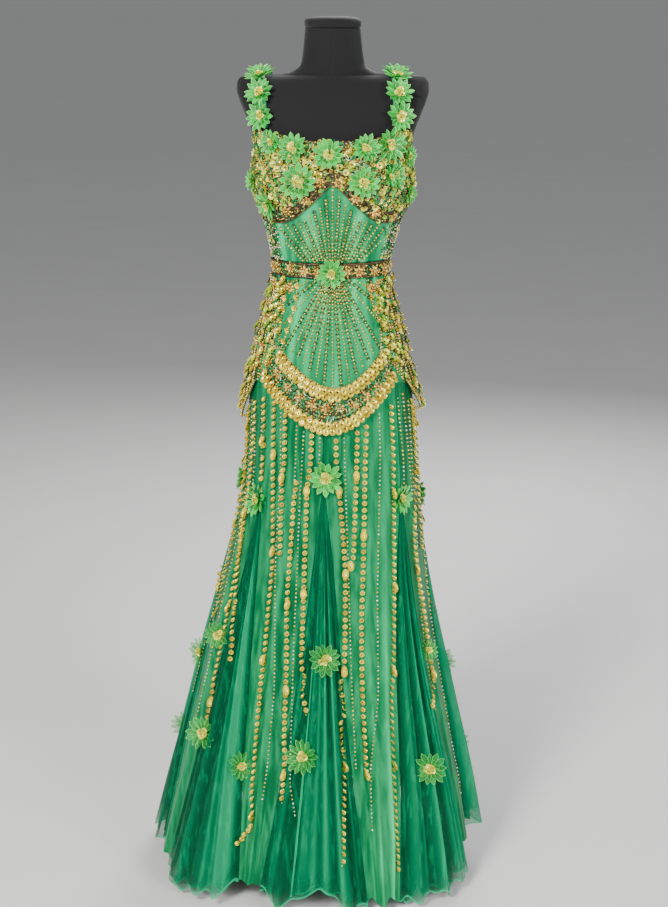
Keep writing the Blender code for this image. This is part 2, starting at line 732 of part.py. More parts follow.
def shoulder_point(tree, x, distance, out, rise=0.0, cloth_tree=None):
    """A point over the shoulder, rise above a base that is clear of the form and of the cloth."""
    point, away = shoulder_path(x, distance)
    start, most, squareness, cloth_most = 0.06, 0.0, 1.0, 0.0
    for across, along in ((0, 0), (0.008, 0), (-0.008, 0), (0, 0.008), (0, -0.008)):
        near, near_away = shoulder_path(x + across, distance + along)
        _, normal, _, hit = tree.ray_cast(near + near_away * start, -near_away, 0.1)
        if hit is not None:
            most = max(most, start - hit)
            squareness = min(squareness, abs(normal.dot(near_away)))
        if cloth_tree is not None:
            hit = cloth_tree.ray_cast(near + near_away * start, -near_away, 0.1)[3]
            if hit is not None:
                cloth_most = max(cloth_most, start - hit)
    base = most + out / max(0.5, squareness)
    if cloth_most:
        base = max(base, cloth_most + LAY_ON)
    return point + away * (base + rise)


def strap_x(strap, distance):
    foot_x = strap.back_x if distance > 0 else strap.front_x
    return strap.ridge_x + (foot_x - strap.ridge_x) * min(1.0, abs(distance) / 0.12)


def strap_end(strap, sign, foot, across):
    """How far from the ridge a line along a strap reaches the bodice's edge."""
    distance = 0.0
    while shoulder_path(strap_x(strap, sign * distance) + across, sign * distance)[0].z > foot:
        distance += 0.0005
    return sign * distance


def make_strap(strap):
    """A shoulder strap: a narrow band with a chain of flowers fused on it."""
    front = strap_end(strap, -1, STRAP_FRONT_FOOT, 0.0)
    back = strap_end(strap, 1, STRAP_BACK_FOOT, 0.0)
    top_out = STRAP_GAP + STRAP_WALL
    tree = BVHTree.FromPolygons(form_corners, form_faces)
    cloth_tree = cloth_under()

    def place(u, v):
        across = STRAP_WIDTH * (0.5 - u)
        start = strap_end(strap, 1, STRAP_BACK_FOOT, across)
        end = strap_end(strap, -1, STRAP_FRONT_FOOT, across)
        distance = start + (end - start) * v
        return shoulder_point(tree, strap_x(strap, distance) + across, distance, top_out)

    band = cloth("strap_" + strap.name, 3, 18, place, PETAL, STRAP_WALL)
    count = int((back - front) / STRAP_FLOWER_PITCH)
    for number in range(count):
        distance = (front + back + STRAP_FLOWER_PITCH * (2 * number - count + 1)) / 2

        def spread(x, y, height):
            here = distance - y
            seat = top_out - STRAP_FLOWER_SINK
            return shoulder_point(tree, strap_x(strap, here) + x, here, seat, height, cloth_tree)

        disc = petal_disc(STRAP_FLOWER_RADIUS, STRAP_PETALS, spread)
        flower = add_object(f"{strap.name}_strap_flower_{number}", disc, PETAL, joined_in)
        flower.hide_render = True
        flower.display_type = "WIRE"
        union = band.modifiers.new(f"flower {number}", "BOOLEAN")
        union.operation = "UNION"
        union.object = flower


def main():
    global collection, joined_in
    for obj in list(bpy.data.objects):
        bpy.data.objects.remove(obj)
    collection = bpy.data.collections.new("evening dress on a dress form")
    bpy.context.scene.collection.children.link(collection)
    joined_in = bpy.data.collections.new("joined into the straps")
    bpy.context.scene.collection.children.link(joined_in)
    make_form()
    make_stand()
    make_bodice()
    make_belt()
    make_yoke()
    for gore in GORES:
        make_gore(gore)
    for godet in GODETS:
        make_godet(godet)
    make_hip_trim()
    for strap in STRAPS:
        make_strap(strap)
    for flower in FLOWERS:
        make_flower(flower)


main()
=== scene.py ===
# %% [markdown]
# # A beaded evening dress on a dress form
#
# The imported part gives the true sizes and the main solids. This script dresses it: it keeps the
# solids whose shape is already right, and puts finer cloth, beads, paillettes and petals in place
# of the others. Everything is in metres, +Z is up and the dress faces -Y. Angles round the figure
# start at the front centre and grow towards +X, in degrees.

import math
import random
from collections import namedtuple

import bmesh
import bpy
import numpy as np
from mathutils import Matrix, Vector
from mathutils.bvhtree import BVHTree


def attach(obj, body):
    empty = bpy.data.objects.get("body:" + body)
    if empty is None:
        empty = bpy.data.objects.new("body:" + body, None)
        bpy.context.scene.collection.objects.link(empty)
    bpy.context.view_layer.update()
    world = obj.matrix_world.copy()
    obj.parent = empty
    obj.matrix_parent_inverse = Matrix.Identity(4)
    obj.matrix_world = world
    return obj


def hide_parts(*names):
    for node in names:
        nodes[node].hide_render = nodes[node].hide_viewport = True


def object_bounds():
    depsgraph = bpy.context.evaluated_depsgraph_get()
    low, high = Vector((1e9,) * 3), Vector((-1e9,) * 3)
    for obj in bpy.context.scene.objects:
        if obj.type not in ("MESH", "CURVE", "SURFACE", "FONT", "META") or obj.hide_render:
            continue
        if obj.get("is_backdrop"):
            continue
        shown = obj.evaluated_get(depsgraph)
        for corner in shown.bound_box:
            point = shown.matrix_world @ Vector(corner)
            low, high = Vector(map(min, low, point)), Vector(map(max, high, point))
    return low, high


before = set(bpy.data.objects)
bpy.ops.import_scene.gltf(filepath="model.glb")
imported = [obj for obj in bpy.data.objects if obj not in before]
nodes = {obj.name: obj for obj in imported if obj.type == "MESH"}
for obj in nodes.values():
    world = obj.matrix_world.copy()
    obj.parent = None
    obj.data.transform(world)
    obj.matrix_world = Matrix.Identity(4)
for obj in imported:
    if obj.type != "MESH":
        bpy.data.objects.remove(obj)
cad_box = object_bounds()
print("CAD nodes:", len(nodes), "box:", [tuple(round(c, 3) for c in corner) for corner in cad_box])

# %% [markdown]
# ## The camera first
#
# Many sequins are placed where the camera sees them, so the camera comes before the cloth. It
# stands at a grown person's eye height and looks a little down, as for a photograph of a figure.

# %% The camera
PICTURE_WIDTH, PICTURE_HEIGHT = 668, 907
FOCAL_PIXELS, HORIZON_ABOVE_PICTURE = 1780, 10
CAMERA_PLACE = Vector((0.002, -3.3, 1.695))
LOOKS_DOWN = math.atan((PICTURE_HEIGHT / 2 + HORIZON_ABOVE_PICTURE) / FOCAL_PIXELS)
SENSOR = 36.0

camera_data = bpy.data.cameras.new("eye_height_camera")
camera_data.sensor_width = SENSOR
camera_data.lens = SENSOR * FOCAL_PIXELS / PICTURE_HEIGHT
camera = bpy.data.objects.new("eye_height_camera", camera_data)
camera.location = CAMERA_PLACE
camera.rotation_euler = (math.pi / 2 - LOOKS_DOWN, 0, 0)
bpy.context.scene.collection.objects.link(camera)
bpy.context.scene.camera = camera


def sight_line(u, v):
    """The direction in which the camera sees a pixel of the picture."""
    across = (u - PICTURE_WIDTH / 2) / FOCAL_PIXELS
    down = (v - PICTURE_HEIGHT / 2) / FOCAL_PIXELS
    forward = Vector((0, math.cos(LOOKS_DOWN), -math.sin(LOOKS_DOWN)))
    below = Vector((0, -math.sin(LOOKS_DOWN), -math.cos(LOOKS_DOWN)))
    return (forward + Vector((across, 0, 0)) + below * down).normalized()


print(f"camera lens {camera_data.lens:.1f} mm, looking {math.degrees(LOOKS_DOWN):.1f} degrees down")

# %% [markdown]
# ## The shape under the cloth
#
# The dress form is a stack of rounded outlines, and so is the skirt. These are the same short
# tables that the solids were made from. Here they are read for many points at once, as arrays,
# because the cloth of the scene is far finer than that of the solids.

# %% Tables of outlines
# The dress form at a height: half width, front, back, power of the rounding, sideways lean
FORM = (
    (0.860, 0.143, 0.098, 0.098, 2.2, -0.004), (0.920, 0.150, 0.109, 0.114, 2.2, -0.004),
    (0.980, 0.149, 0.114, 0.119, 2.2, -0.004), (1.035, 0.140, 0.114, 0.114, 2.2, -0.005),
    (1.080, 0.129, 0.109, 0.103, 2.2, -0.005), (1.125, 0.115, 0.100, 0.091, 2.2, -0.005),
    (1.165, 0.105, 0.091, 0.080, 2.2, -0.004), (1.200, 0.104, 0.088, 0.077, 2.2, -0.003),
    (1.240, 0.111, 0.090, 0.080, 2.3, -0.002), (1.280, 0.121, 0.094, 0.086, 2.3, -0.001),
    (1.315, 0.134, 0.099, 0.090, 2.4, 0.0), (1.345, 0.143, 0.102, 0.095, 2.4, 0.0),
    (1.375, 0.145, 0.104, 0.100, 2.5, 0.0), (1.405, 0.143, 0.102, 0.103, 2.6, 0.0),
    (1.435, 0.146, 0.098, 0.103, 2.9, 0.0), (1.470, 0.158, 0.089, 0.096, 3.1, 0.0),
    (1.500, 0.170, 0.076, 0.082, 3.0, 0.0), (1.520, 0.175, 0.065, 0.070, 2.5, 0.0),
    (1.533, 0.174, 0.056, 0.060, 2.0, 0.0), (1.540, 0.170, 0.050, 0.054, 1.6, 0.0),
    (1.544, 0.162, 0.047, 0.050, 1.25, 0.0), (1.546, 0.120, 0.046, 0.049, 1.2, 0.0),
    (1.552, 0.075, 0.046, 0.049, 1.7, 0.0), (1.565, 0.058, 0.046, 0.048, 2.0, 0.0),
    (1.6302, 0.050, 0.0465, 0.0475, 2.0, 0.0),
)
# The skirt at a height: left, right, front, back, power of the rounding
SKIRT = (
    (0.010, 0.347, 0.271, 0.256, 0.282, 2.25), (0.150, 0.314, 0.251, 0.238, 0.258, 2.2),
    (0.300, 0.280, 0.223, 0.210, 0.228, 2.15), (0.450, 0.245, 0.196, 0.181, 0.194, 2.1),
    (0.600, 0.210, 0.177, 0.155, 0.162, 2.1), (0.720, 0.184, 0.168, 0.138, 0.142, 2.1),
    (0.830, 0.166, 0.160, 0.126, 0.130, 2.2), (0.920, 0.160, 0.154, 0.119, 0.124, 2.2),
)
# The height of the hem at an angle
HEM = (
    (-180, 0.020), (-130, 0.020), (-104, 0.030), (-88, 0.040), (-76, 0.044),
    (-66, 0.018), (-56, 0.012), (-46, 0.020), (-36, 0.026), (-29, 0.054),
    (-21, 0.048), (-15, 0.012), (-11, 0.030), (-5, 0.052), (0, 0.040),
    (5, 0.010), (10, 0.012), (13, 0.030), (17, 0.012), (20, 0.032),
    (25, 0.014), (40, 0.020), (52, 0.014), (63, 0.028), (75, 0.056),
    (90, 0.076), (104, 0.068), (120, 0.036), (140, 0.020), (180, 0.020),
)
SKIRT_STARTS, SKIRT_FREE = 0.985, 0.900
TABLE_STEPS = 900
CLOTH_OUT = 0.0040
BUST_ACROSS, BUST_HEIGHT, BUST_RISE = 0.068, 1.350, 0.024
BUST_SPREAD_ACROSS, BUST_SPREAD_UP = 0.046, 0.050


# %% Reading the tables
def smooth(low, high, value):
    """0 below low, 1 above high, and an even curve between."""
    share = np.clip((np.asarray(value, float) - low) / (high - low), 0, 1)
    return share * share * (3 - 2 * share)


class Outlines:
    """A table read at any place along its first column, on curves that never overshoot."""

    def __init__(self, rows):
        table = np.array(rows, float)
        knots, values = table[:, 0], table[:, 1:]
        rise = np.diff(values, axis=0) / np.diff(knots)[:, None]
        before, behind = rise[:-1], rise[1:]
        same_way = before * behind > 0
        inner = np.where(same_way, 2 * before * behind / np.where(same_way, before + behind, 1), 0)
        slopes = np.vstack([rise[:1], inner, rise[-1:]])
        self.places = np.linspace(knots[0], knots[-1], TABLE_STEPS)
        after = np.clip(np.searchsorted(knots, self.places), 1, len(knots) - 1)
        span = (knots[after] - knots[after - 1])[:, None]
        share = (self.places[:, None] - knots[after - 1][:, None]) / span
        self.values = (
            values[after - 1] * (1 + 2 * share) * (1 - share) ** 2
            + slopes[after - 1] * span * share * (1 - share) ** 2
            + values[after] * share**2 * (3 - 2 * share)
            + slopes[after] * span * share**2 * (share - 1)
        )

    def at(self, place):
        """One array for each column after the first."""
        return [np.interp(place, self.places, column) for column in self.values.T]


form_outlines, skirt_outlines, hem_outline = Outlines(FORM), Outlines(SKIRT), Outlines(HEM)


def hem_height(angle):
    return hem_outline.at((np.asarray(angle, float) + 180) % 360 - 180)[0]


def oval(angle, z, left, right, front, back, power):
    """Points on a rounded outline with its own reach on each of the four sides."""
    across, ahead = np.sin(np.radians(angle)), np.cos(np.radians(angle))
    x = np.where(across > 0, right, left) * np.sign(across) * np.abs(across) ** (2 / power)
    y = -np.where(ahead > 0, front, back) * np.sign(ahead) * np.abs(ahead) ** (2 / power)
    return np.stack(np.broadcast_arrays(x, y, z), axis=-1)


def form_point(angle, z):
    """Points on the dress form."""
    half, front, back, power, lean = form_outlines.at(z)
    points = oval(angle, z, half, half, front, back, power)
    across = (np.abs(points[..., 0]) - BUST_ACROSS) / BUST_SPREAD_ACROSS
    up = (points[..., 2] - BUST_HEIGHT) / BUST_SPREAD_UP
    facing = smooth(0, 0.35, np.cos(np.radians(angle)))
    points[..., 1] -= BUST_RISE * np.exp(-across * across - up * up) * facing
    points[..., 0] += lean
    return points


def outward(surface, angle, z):
    """The level directions that lead straight out of a surface."""
    along = surface(angle + 0.5, z) - surface(angle - 0.5, z)
    out = np.stack([along[..., 1], -along[..., 0], np.zeros_like(along[..., 0])], axis=-1)
    return out / np.linalg.norm(out, axis=-1, keepdims=True)


def base_point(angle, z):
    """The outside of the dress without folds: fitted to the hips, then hanging free."""
    angle, z = np.broadcast_arrays(np.asarray(angle, float), np.asarray(z, float))
    worn = form_point(angle, z) + outward(form_point, angle, z) * CLOTH_OUT
    hanging = oval(angle, z, *skirt_outlines.at(z))
    free = (1 - smooth(SKIRT_FREE, SKIRT_STARTS, z))[..., None]
    return worn * (1 - free) + hanging * free


def lifted(angle, z, out):
    """Points at a distance outside the dress."""
    away = outward(base_point, np.asarray(angle, float), np.asarray(z, float))
    return base_point(angle, z) + away * np.asarray(out, float)[..., None]


def degrees_for(angle, z, length):
    """The angle that a short length round the dress takes up."""
    step = base_point(angle + 1.0, z) - base_point(angle, z)
    return length / np.linalg.norm(step, axis=-1)


print("waist is", round(float(2 * base_point(90, 1.18)[0]), 3), "m across")

# %% [markdown]
# ## Finishes
#
# Each finish is a node material. A small class wraps a socket, so that a pattern is written as a
# sum on values: `1 - mask * 0.4` adds the Math nodes by itself. What varies over a surface feeds
# only colour, roughness and bump; numbers that are the same all over are set on the shader.

# %% Shader sums in Python
class Value:
    """A socket that carries numbers, with the operators that a sum needs."""

    def __init__(self, finish, socket):
        self.finish, self.socket = finish, socket

    def _math(self, operation, *values):
        return self.finish.node("ShaderNodeMath", {"operation": operation}, values)

    def __add__(self, other):
        return self._math("ADD", self, other)

    def __sub__(self, other):
        return self._math("SUBTRACT", self, other)

    def __rsub__(self, other):
        return self._math("SUBTRACT", other, self)

    def __mul__(self, other):
        return self._math("MULTIPLY", self, other)

    __radd__ = __add__

    def most(self, other):
        return self._math("MAXIMUM", self, other)

    def band(self, low, high):
        """0 below low, 1 above high, smooth between."""
        settings = {"interpolation_type": "SMOOTHSTEP"}
        values = {"Value": self, "From Min": low, "From Max": high}
        return self.finish.node("ShaderNodeMapRange", settings, values)


class Finish:
    """A node material with one Principled shader."""

    def __init__(self, name, **shader_values):
        self.material = bpy.data.materials.new(name)
        self.material.use_nodes = True
        self.tree = self.material.node_tree
        self.shader = self.tree.nodes["Principled BSDF"]
        for label, value in shader_values.items():
            self.set(label.replace("_", " "), value)

    def fill(self, socket, value):
        if isinstance(value, Value):
            self.tree.links.new(value.socket, socket)
        elif isinstance(value, tuple) and len(value) == 3 and socket.type == "RGBA":
            socket.default_value = (*value, 1.0)
        else:
            socket.default_value = value

    def set(self, label, value):
        self.fill(self.shader.inputs[label], value)

    def node(self, kind, settings=None, values=None, output=0):
        """Any node: its settings first, then the values or links of its sockets."""
        made = self.tree.nodes.new(kind)
        for name, value in (settings or {}).items():
            setattr(made, name, value)
        pairs = values.items() if isinstance(values, dict) else enumerate(values or ())
        for place, value in pairs:
            self.fill(made.inputs[place], value)
        return Value(self, made.outputs[output])

    def place(self, stretch=(1, 1, 1)):
        """Object coordinates, stretched."""
        where = self.node("ShaderNodeTexCoord", output="Object")
        return self.node("ShaderNodeMapping", None, {"Vector": where, "Scale": stretch})

    def noise(self, scale, stretch=(1, 1, 1), detail=3.0):
        values = {"Vector": self.place(stretch), "Scale": scale, "Detail": detail}
        return self.node("ShaderNodeTexNoise", None, values)

    def painted(self, name):
        """A number kept on the mesh's points."""
        return self.node("ShaderNodeAttribute", {"attribute_name": name}, output="Fac")

    def mix(self, share, first, second):
        values = {"Factor": share, 6: first, 7: second}
        return self.node("ShaderNodeMix", {"data_type": "RGBA"}, values, output=2)

    def bump(self, height, strength, distance):
        values = {"Height": height, "Strength": strength, "Distance": distance}
        self.set("Normal", self.node("ShaderNodeBump", None, values))


print("shader sums ready")

# %% [markdown]
# ### Cloth
#
# Satin is smooth: a low roughness, a soft sheen and a very fine weave, with shade painted into the
# troughs of its folds and highlights painted onto their ridges. The net is a gauze that light passes
# through, with the same painted shade and highlights. Its threads are far too fine to model, so it is
# partly clear, with a fine mesh in its clearness and colour. Faint streaks of painted highlight run
# down both cloths; they also roughen the satin and make the net less clear.

# %% Satin
# Painted shadow, middle colour and painted highlight of the satin
SATIN_SHADOW, SATIN_MIDDLE, SATIN_HIGHLIGHT = (0.000, 0.080, 0.026), (0.000, 0.280, 0.094), (0.030, 0.780, 0.290)


def satin_finish():
    finish = Finish("emerald_satin", Sheen_Weight=0.08, Sheen_Tint=(0.2, 1.0, 0.4),
                    Specular_Tint=(0.15, 1.0, 0.40), Specular_IOR_Level=0.6)
    # The number on the points paints shade into the troughs and highlights onto the ridges, and the streaks
    # paint highlight too
    streaks = finish.noise(14.0, (6, 6, 0.45), 4.0).band(0.35, 0.68)
    height = finish.painted("fold")
    colour = finish.mix(height.band(0.15, 0.85), SATIN_SHADOW, SATIN_MIDDLE)
    colour = finish.mix(height.band(0.55, 1.0) * 0.75 + streaks * 0.22, colour, SATIN_HIGHLIGHT)
    finish.set("Base Color", colour)
    finish.set("Roughness", 0.30 + streaks * 0.14)
    weave = finish.noise(2600.0, (1, 1, 0.4), 2.0)
    crush = finish.noise(46.0, (1, 1, 0.35))
    finish.bump(weave * 0.25 + crush, 0.35, 0.0022)
    return finish.material


satin = satin_finish()

# %% Net
SHEER_HEM = 0.45
# Painted shadow and middle colour of the net, and the pale colour of its rolled edge, which also serves as
# painted highlight
NET_SHADOW, NET_MIDDLE, NET_EDGE_AND_HIGHLIGHT = (0.000, 0.060, 0.022), (0.000, 0.210, 0.086), (0.004, 0.500, 0.210)


def net_finish(name, cover):
    """Net that hides what is behind it as far as cover says, 1 being all of it."""
    finish = Finish(name, Roughness=0.62, Sheen_Weight=0.08, Sheen_Tint=(0.0, 1.0, 0.45),
                    Specular_Tint=(0.05, 1.0, 0.45), Specular_IOR_Level=0.3)
    # The number on the points paints shade into the troughs and a pale highlight onto the ridges; the streaks
    # paint highlight too
    folds = finish.painted("fold")
    streaks = finish.noise(26.0, (5, 5, 0.16)).band(0.52, 0.64)
    colour = finish.mix(folds.band(0.15, 0.85), NET_SHADOW, NET_MIDDLE)
    colour = finish.mix(streaks * 0.16 + folds.band(0.62, 1.0) * 0.35, colour, NET_EDGE_AND_HIGHLIGHT)
    # The number rises to SHEER_HEM just above the hem, and to 1 on its rolled edge
    rim = finish.painted("rim")
    hem, rolled = rim.band(0.0, SHEER_HEM), rim.band(0.55, 0.95)
    finish.set("Base Color", finish.mix(rolled * 0.8, colour, NET_EDGE_AND_HIGHLIGHT))
    threads = finish.noise(1500.0, detail=1.0).band(0.35, 0.65)
    clear = threads * 0.10 + streaks * 0.06 + folds * 0.05 + cover - hem * 0.24
    finish.set("Alpha", clear.most(rolled * 0.97))
    finish.bump(finish.noise(60.0, (2, 2, 0.3)) + threads * 0.1, 0.25, 0.0015)
    return finish.material


net, net_under = net_finish("green_net", 0.74), net_finish("green_net_under", 0.88)
print("cloth finishes:", satin.name, net.name, net_under.name)

# %% [markdown]
# ### Beads, paillettes, petals and the form
#
# Glass beads and metal-coated paillettes are small, so their colour and gloss do the work. Each
# small thing carries a number called tone, so that neighbours differ as in a real bead tray.

# %% Small shiny things
# Painted shade round the hole of a cup or paillette
HOLE_SHADE = (0.055, 0.035, 0.008)


def toned_finish(name, dark, light, roughness, metallic, coat):
    """A finish that runs from dark to light by each small thing's own tone, with painted shade round a hole.
    """
    finish = Finish(name, Metallic=metallic, Coat_Weight=coat)
    # The rim number paints shade round a disc's hole
    tone, hole = finish.painted("tone"), finish.painted("rim").band(0.55, 0.95)
    finish.set("Base Color", finish.mix(hole * 0.85, finish.mix(tone, dark, light), HOLE_SHADE))
    finish.set("Roughness", roughness + tone * 0.12)
    return finish.material


gold_paillette = toned_finish("gold_paillettes", (0.64, 0.46, 0.02), (0.97, 0.82, 0.07), 0.18, 0.40, 0.5)
pale_paillette = toned_finish(
    "pale_yellow_paillettes", (0.60, 0.48, 0.02), (1.00, 0.92, 0.14), 0.18, 0.35, 0.5)
lime_paillette = toned_finish(
    "yellow_green_paillettes", (0.20, 0.46, 0.01), (0.66, 0.86, 0.05), 0.20, 0.20, 0.5)
gold_bead = toned_finish("gold_beads", (0.50, 0.31, 0.02), (1.00, 0.80, 0.14), 0.18, 0.50, 0.5)
copper_bead = toned_finish("copper_beads", (0.32, 0.17, 0.02), (0.94, 0.62, 0.15), 0.22, 0.60, 0.4)
silver_bead = toned_finish("silver_beads", (0.50, 0.44, 0.24), (1.00, 0.97, 0.78), 0.16, 0.55, 0.5)
green_bead = toned_finish("green_glass_beads", (0.000, 0.055, 0.016), (0.010, 0.360, 0.090), 0.14, 0.1, 0.4)
amber_bead = toned_finish("amber_beads", (0.85, 0.28, 0.01), (1.00, 0.55, 0.05), 0.15, 0.2, 0.8)


def beaded_ground_finish(name, dark, middle, light):
    """Net closely worked with seed beads: a bumpy ground in three browns and greens."""
    finish = Finish(name, Metallic=0.35, Coat_Weight=0.2)
    values = {"Vector": finish.place(), "Scale": 420.0}
    seeds = finish.node("ShaderNodeTexVoronoi", None, values, output="Distance")
    tint = finish.noise(150.0)
    colour = finish.mix(tint.band(0.42, 0.56), dark, middle)
    finish.set("Base Color", finish.mix(tint.band(0.56, 0.66) * 0.7, colour, light))
    finish.set("Roughness", 0.30 + seeds * 0.5)
    finish.bump(1 - seeds, 0.8, 0.0012)
    return finish.material


beaded_ground = beaded_ground_finish(
    "beaded_net", (0.008, 0.020, 0.004), (0.070, 0.048, 0.009), (0.30, 0.19, 0.04))
green_ground = beaded_ground_finish(
    "beaded_green_net", (0.000, 0.045, 0.013), (0.004, 0.150, 0.040), (0.20, 0.19, 0.04))
brown_trim = beaded_ground_finish(
    "brown_trim", (0.040, 0.022, 0.008), (0.110, 0.062, 0.022), (0.26, 0.16, 0.06))


# %% Petals and the form
def petal_finish(name, heart, body, rim_colour, cover):
    finish = Finish(name, Roughness=0.40, Specular_Tint=(0.5, 1.0, 0.5), Coat_Weight=0.12)
    rim, tone = finish.painted("rim"), finish.painted("tone")
    colour = finish.mix(tone, heart, body)
    veins = finish.noise(240.0, detail=2.0).band(0.45, 0.6)
    colour = finish.mix(veins * 0.08, colour, rim_colour)
    finish.set("Base Color", finish.mix(rim.band(0.42, 0.95), colour, rim_colour))
    finish.set("Alpha", rim.band(0.4, 0.9).most(cover))
    finish.bump(veins, 0.25, 0.0008)
    return finish.material


petal = petal_finish(
    "green_petals", (0.000, 0.130, 0.026), (0.012, 0.720, 0.080), (0.40, 1.00, 0.28), 0.93)
sheer_petal = petal_finish(
    "sheer_green_petals", (0.001, 0.180, 0.026), (0.020, 0.460, 0.075), (0.24, 0.86, 0.15), 0.6)

jersey = Finish("black_jersey", Roughness=0.85, Sheen_Weight=0.15, Sheen_Roughness=0.5,
                Specular_IOR_Level=0.25)
jersey_tint = jersey.noise(900.0, detail=2.0)
jersey.set("Base Color", jersey.mix(jersey_tint, (0.003, 0.003, 0.004), (0.010, 0.010, 0.011)))
jersey.bump(jersey_tint + jersey.painted("seam") * -4.0, 0.35, 0.0006)
steel = Finish("black_steel", Metallic=0.4)
steel_wear = steel.noise(35.0)
steel.set("Base Color", steel.mix(steel_wear, (0.010, 0.010, 0.011), (0.024, 0.024, 0.025)))
steel.set("Roughness", 0.34 + steel_wear * 0.2)
print("finishes:", len(bpy.data.materials))

# %% [markdown]
# ## Making cloth
#
# A panel of cloth starts as a flat grid. Each of its points is then moved to its place on the
# figure. Two things are remembered on the points: a number for painted light and shade, mostly
# from how far the folds stand out there, and how near the point is to a raw edge.

# %% Cloth from a grid
laid_points, laid_faces, cut_sheets = [], [], {}


def remember(mesh):
    """Keeps a piece's faces, so that beads can be sewn on it."""
    first = sum(len(points) for points in laid_points)
    laid_points.append(np.array([vert.co for vert in mesh.vertices]))
    laid_faces.extend([first + index for index in face.vertices] for face in mesh.polygons)


def add_piece(name, mesh, material, replaces=()):
    """A finished mesh becomes a piece that rides on the part."""
    mesh.name = name
    mesh.materials.clear()
    mesh.materials.append(material)
    mesh.shade_smooth()
    piece = bpy.data.objects.new(name, mesh)
    bpy.context.scene.collection.objects.link(piece)
    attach(piece, "root")
    if replaces:
        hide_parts(*replaces)
    return piece


def mesh_from(bm, **painted):
    """A bmesh made a mesh, with a named number for each of its points."""
    mesh = bpy.data.meshes.new("piece")
    bm.to_mesh(mesh)
    bm.free()
    for label, values in painted.items():
        numbers = np.broadcast_to(np.asarray(values, np.float32), len(mesh.vertices))
        attribute = mesh.attributes.new(label, "FLOAT", "POINT")
        attribute.data.foreach_set("value", np.ascontiguousarray(numbers))
    return mesh


def grid(columns, rows):
    """A flat grid, and how far across and up it each of its points lies, from 0 to 1."""
    bm = bmesh.new()
    bmesh.ops.create_grid(bm, x_segments=columns, y_segments=rows, size=0.5)
    flat = np.array([vert.co.xy for vert in bm.verts]) + 0.5
    return bm, flat[:, 0], flat[:, 1]


def move(bm, points):
    for vert, point in zip(bm.verts, points):
        vert.co = point


def turned_outline(outline, steps, merge):
    """A round shape spun from its half outline, with points closer than merge made one."""
    bm = bmesh.new()
    corners = [bm.verts.new((across, 0, up)) for across, up in outline]
    line = [bm.edges.new(pair) for pair in zip(corners, corners[1:])]
    bmesh.ops.spin(bm, geom=corners + line, axis=(0, 0, 1), cent=(0, 0, 0), angle=2 * math.pi,
                   steps=steps, use_merge=True)
    bmesh.ops.remove_doubles(bm, verts=bm.verts, dist=merge)
    bmesh.ops.recalc_face_normals(bm, faces=bm.faces)
    return bm


def longest(points, lines, order):
    """The length of the longest of the lines of points, each followed in order."""
    runs = [points[lines == line][np.argsort(order[lines == line])] for line in np.unique(lines)]
    length = max(np.linalg.norm(np.diff(run, axis=0), axis=1).sum() for run in runs)
    return round(float(length), 3)


def cloth(name, columns, rows, place, material, replaces, wall=0.0, lay=True):
    """A panel of cloth: place(u, v) gives its points, a number for painted light and shade, mostly from how
    far its folds stand out, and its raw edge.
    """
    bm, u, v = grid(columns, rows)
    points, fold, rim = place(u, v)
    move(bm, points)
    mesh = mesh_from(bm, fold=fold, rim=rim)
    points = np.array([vert.co for vert in mesh.vertices])
    flat = longest(points, v, u), longest(points, u, v)
    if lay:
        remember(mesh)
    piece = add_piece(name, mesh, material, replaces)
    if wall:
        solid = piece.modifiers.new("wall", "SOLIDIFY")
        solid.thickness, solid.offset = wall, -1
    cut_sheets[name] = flat
    return piece


# %% [markdown]
# ### Seams and edges of the pattern
#
# The bodice has a shallow scooped neck and a seam under the bust that rises to a peak. The belt
# runs level round the waist, and the yoke ends in a shallow V where the skirt is sewn on.

# %% The pattern's lines
NECK_CENTRE, NECK_AT_STRAP = 1.4355, 1.4515
NECK_LEVEL_TO, STRAP_AT, ARMHOLE_FROM = 8, 44, 60
BACK_AT_STRAP, UNDERARM, BACK_CENTRE = 1.386, 1.369, 1.357
BACK_STRAP_AT, BACK_DIPS_FROM, BACK_DIPS_TO = 122, 130, 176
BUST_PEAK, BUST_FOOT, PEAK_HALF_WIDTH, PEAK_POWER = 1.3615, 1.288, 48, 2.2
BELT_TOP, BELT_FOOT = 1.2155, 1.1875
YOKE_FOOT_FRONT, YOKE_FOOT_SIDE = 0.945, 0.990
SIDE_SEAM, PRINCESS_SEAM, BACK_SEAM = 90, 58, 180
YOKE_LOWEST, YOKE_LEFT, YOKE_RIGHT = -5, -50, 50
SEAM_GAP = 0.0005


def side_of(angle):
    return (np.asarray(angle, float) + 180) % 360 - 180


def neckline(angle):
    side = np.abs(side_of(angle))
    front = NECK_CENTRE + (NECK_AT_STRAP - NECK_CENTRE) * smooth(NECK_LEVEL_TO, STRAP_AT, side)
    front = front - (NECK_AT_STRAP - UNDERARM) * smooth(ARMHOLE_FROM, SIDE_SEAM, side)
    rise = (BACK_AT_STRAP - UNDERARM) * smooth(SIDE_SEAM, BACK_STRAP_AT, side)
    back = UNDERARM + rise - (BACK_AT_STRAP - BACK_CENTRE) * smooth(BACK_DIPS_FROM, BACK_DIPS_TO, side)
    return np.where(side <= SIDE_SEAM, front, back)


def bust_seam(angle):
    share = np.maximum(0, 1 - np.abs(side_of(angle)) / PEAK_HALF_WIDTH)
    return BUST_FOOT + (BUST_PEAK - BUST_FOOT) * share**PEAK_POWER


def yoke_foot(angle):
    side = side_of(angle) - YOKE_LOWEST
    reach = np.where(side > 0, YOKE_RIGHT - YOKE_LOWEST, YOKE_LEFT - YOKE_LOWEST)
    return YOKE_FOOT_FRONT + (YOKE_FOOT_SIDE - YOKE_FOOT_FRONT) * np.minimum(1, side / reach)


def level(height):
    return lambda angle: np.full_like(np.asarray(angle, float), height)


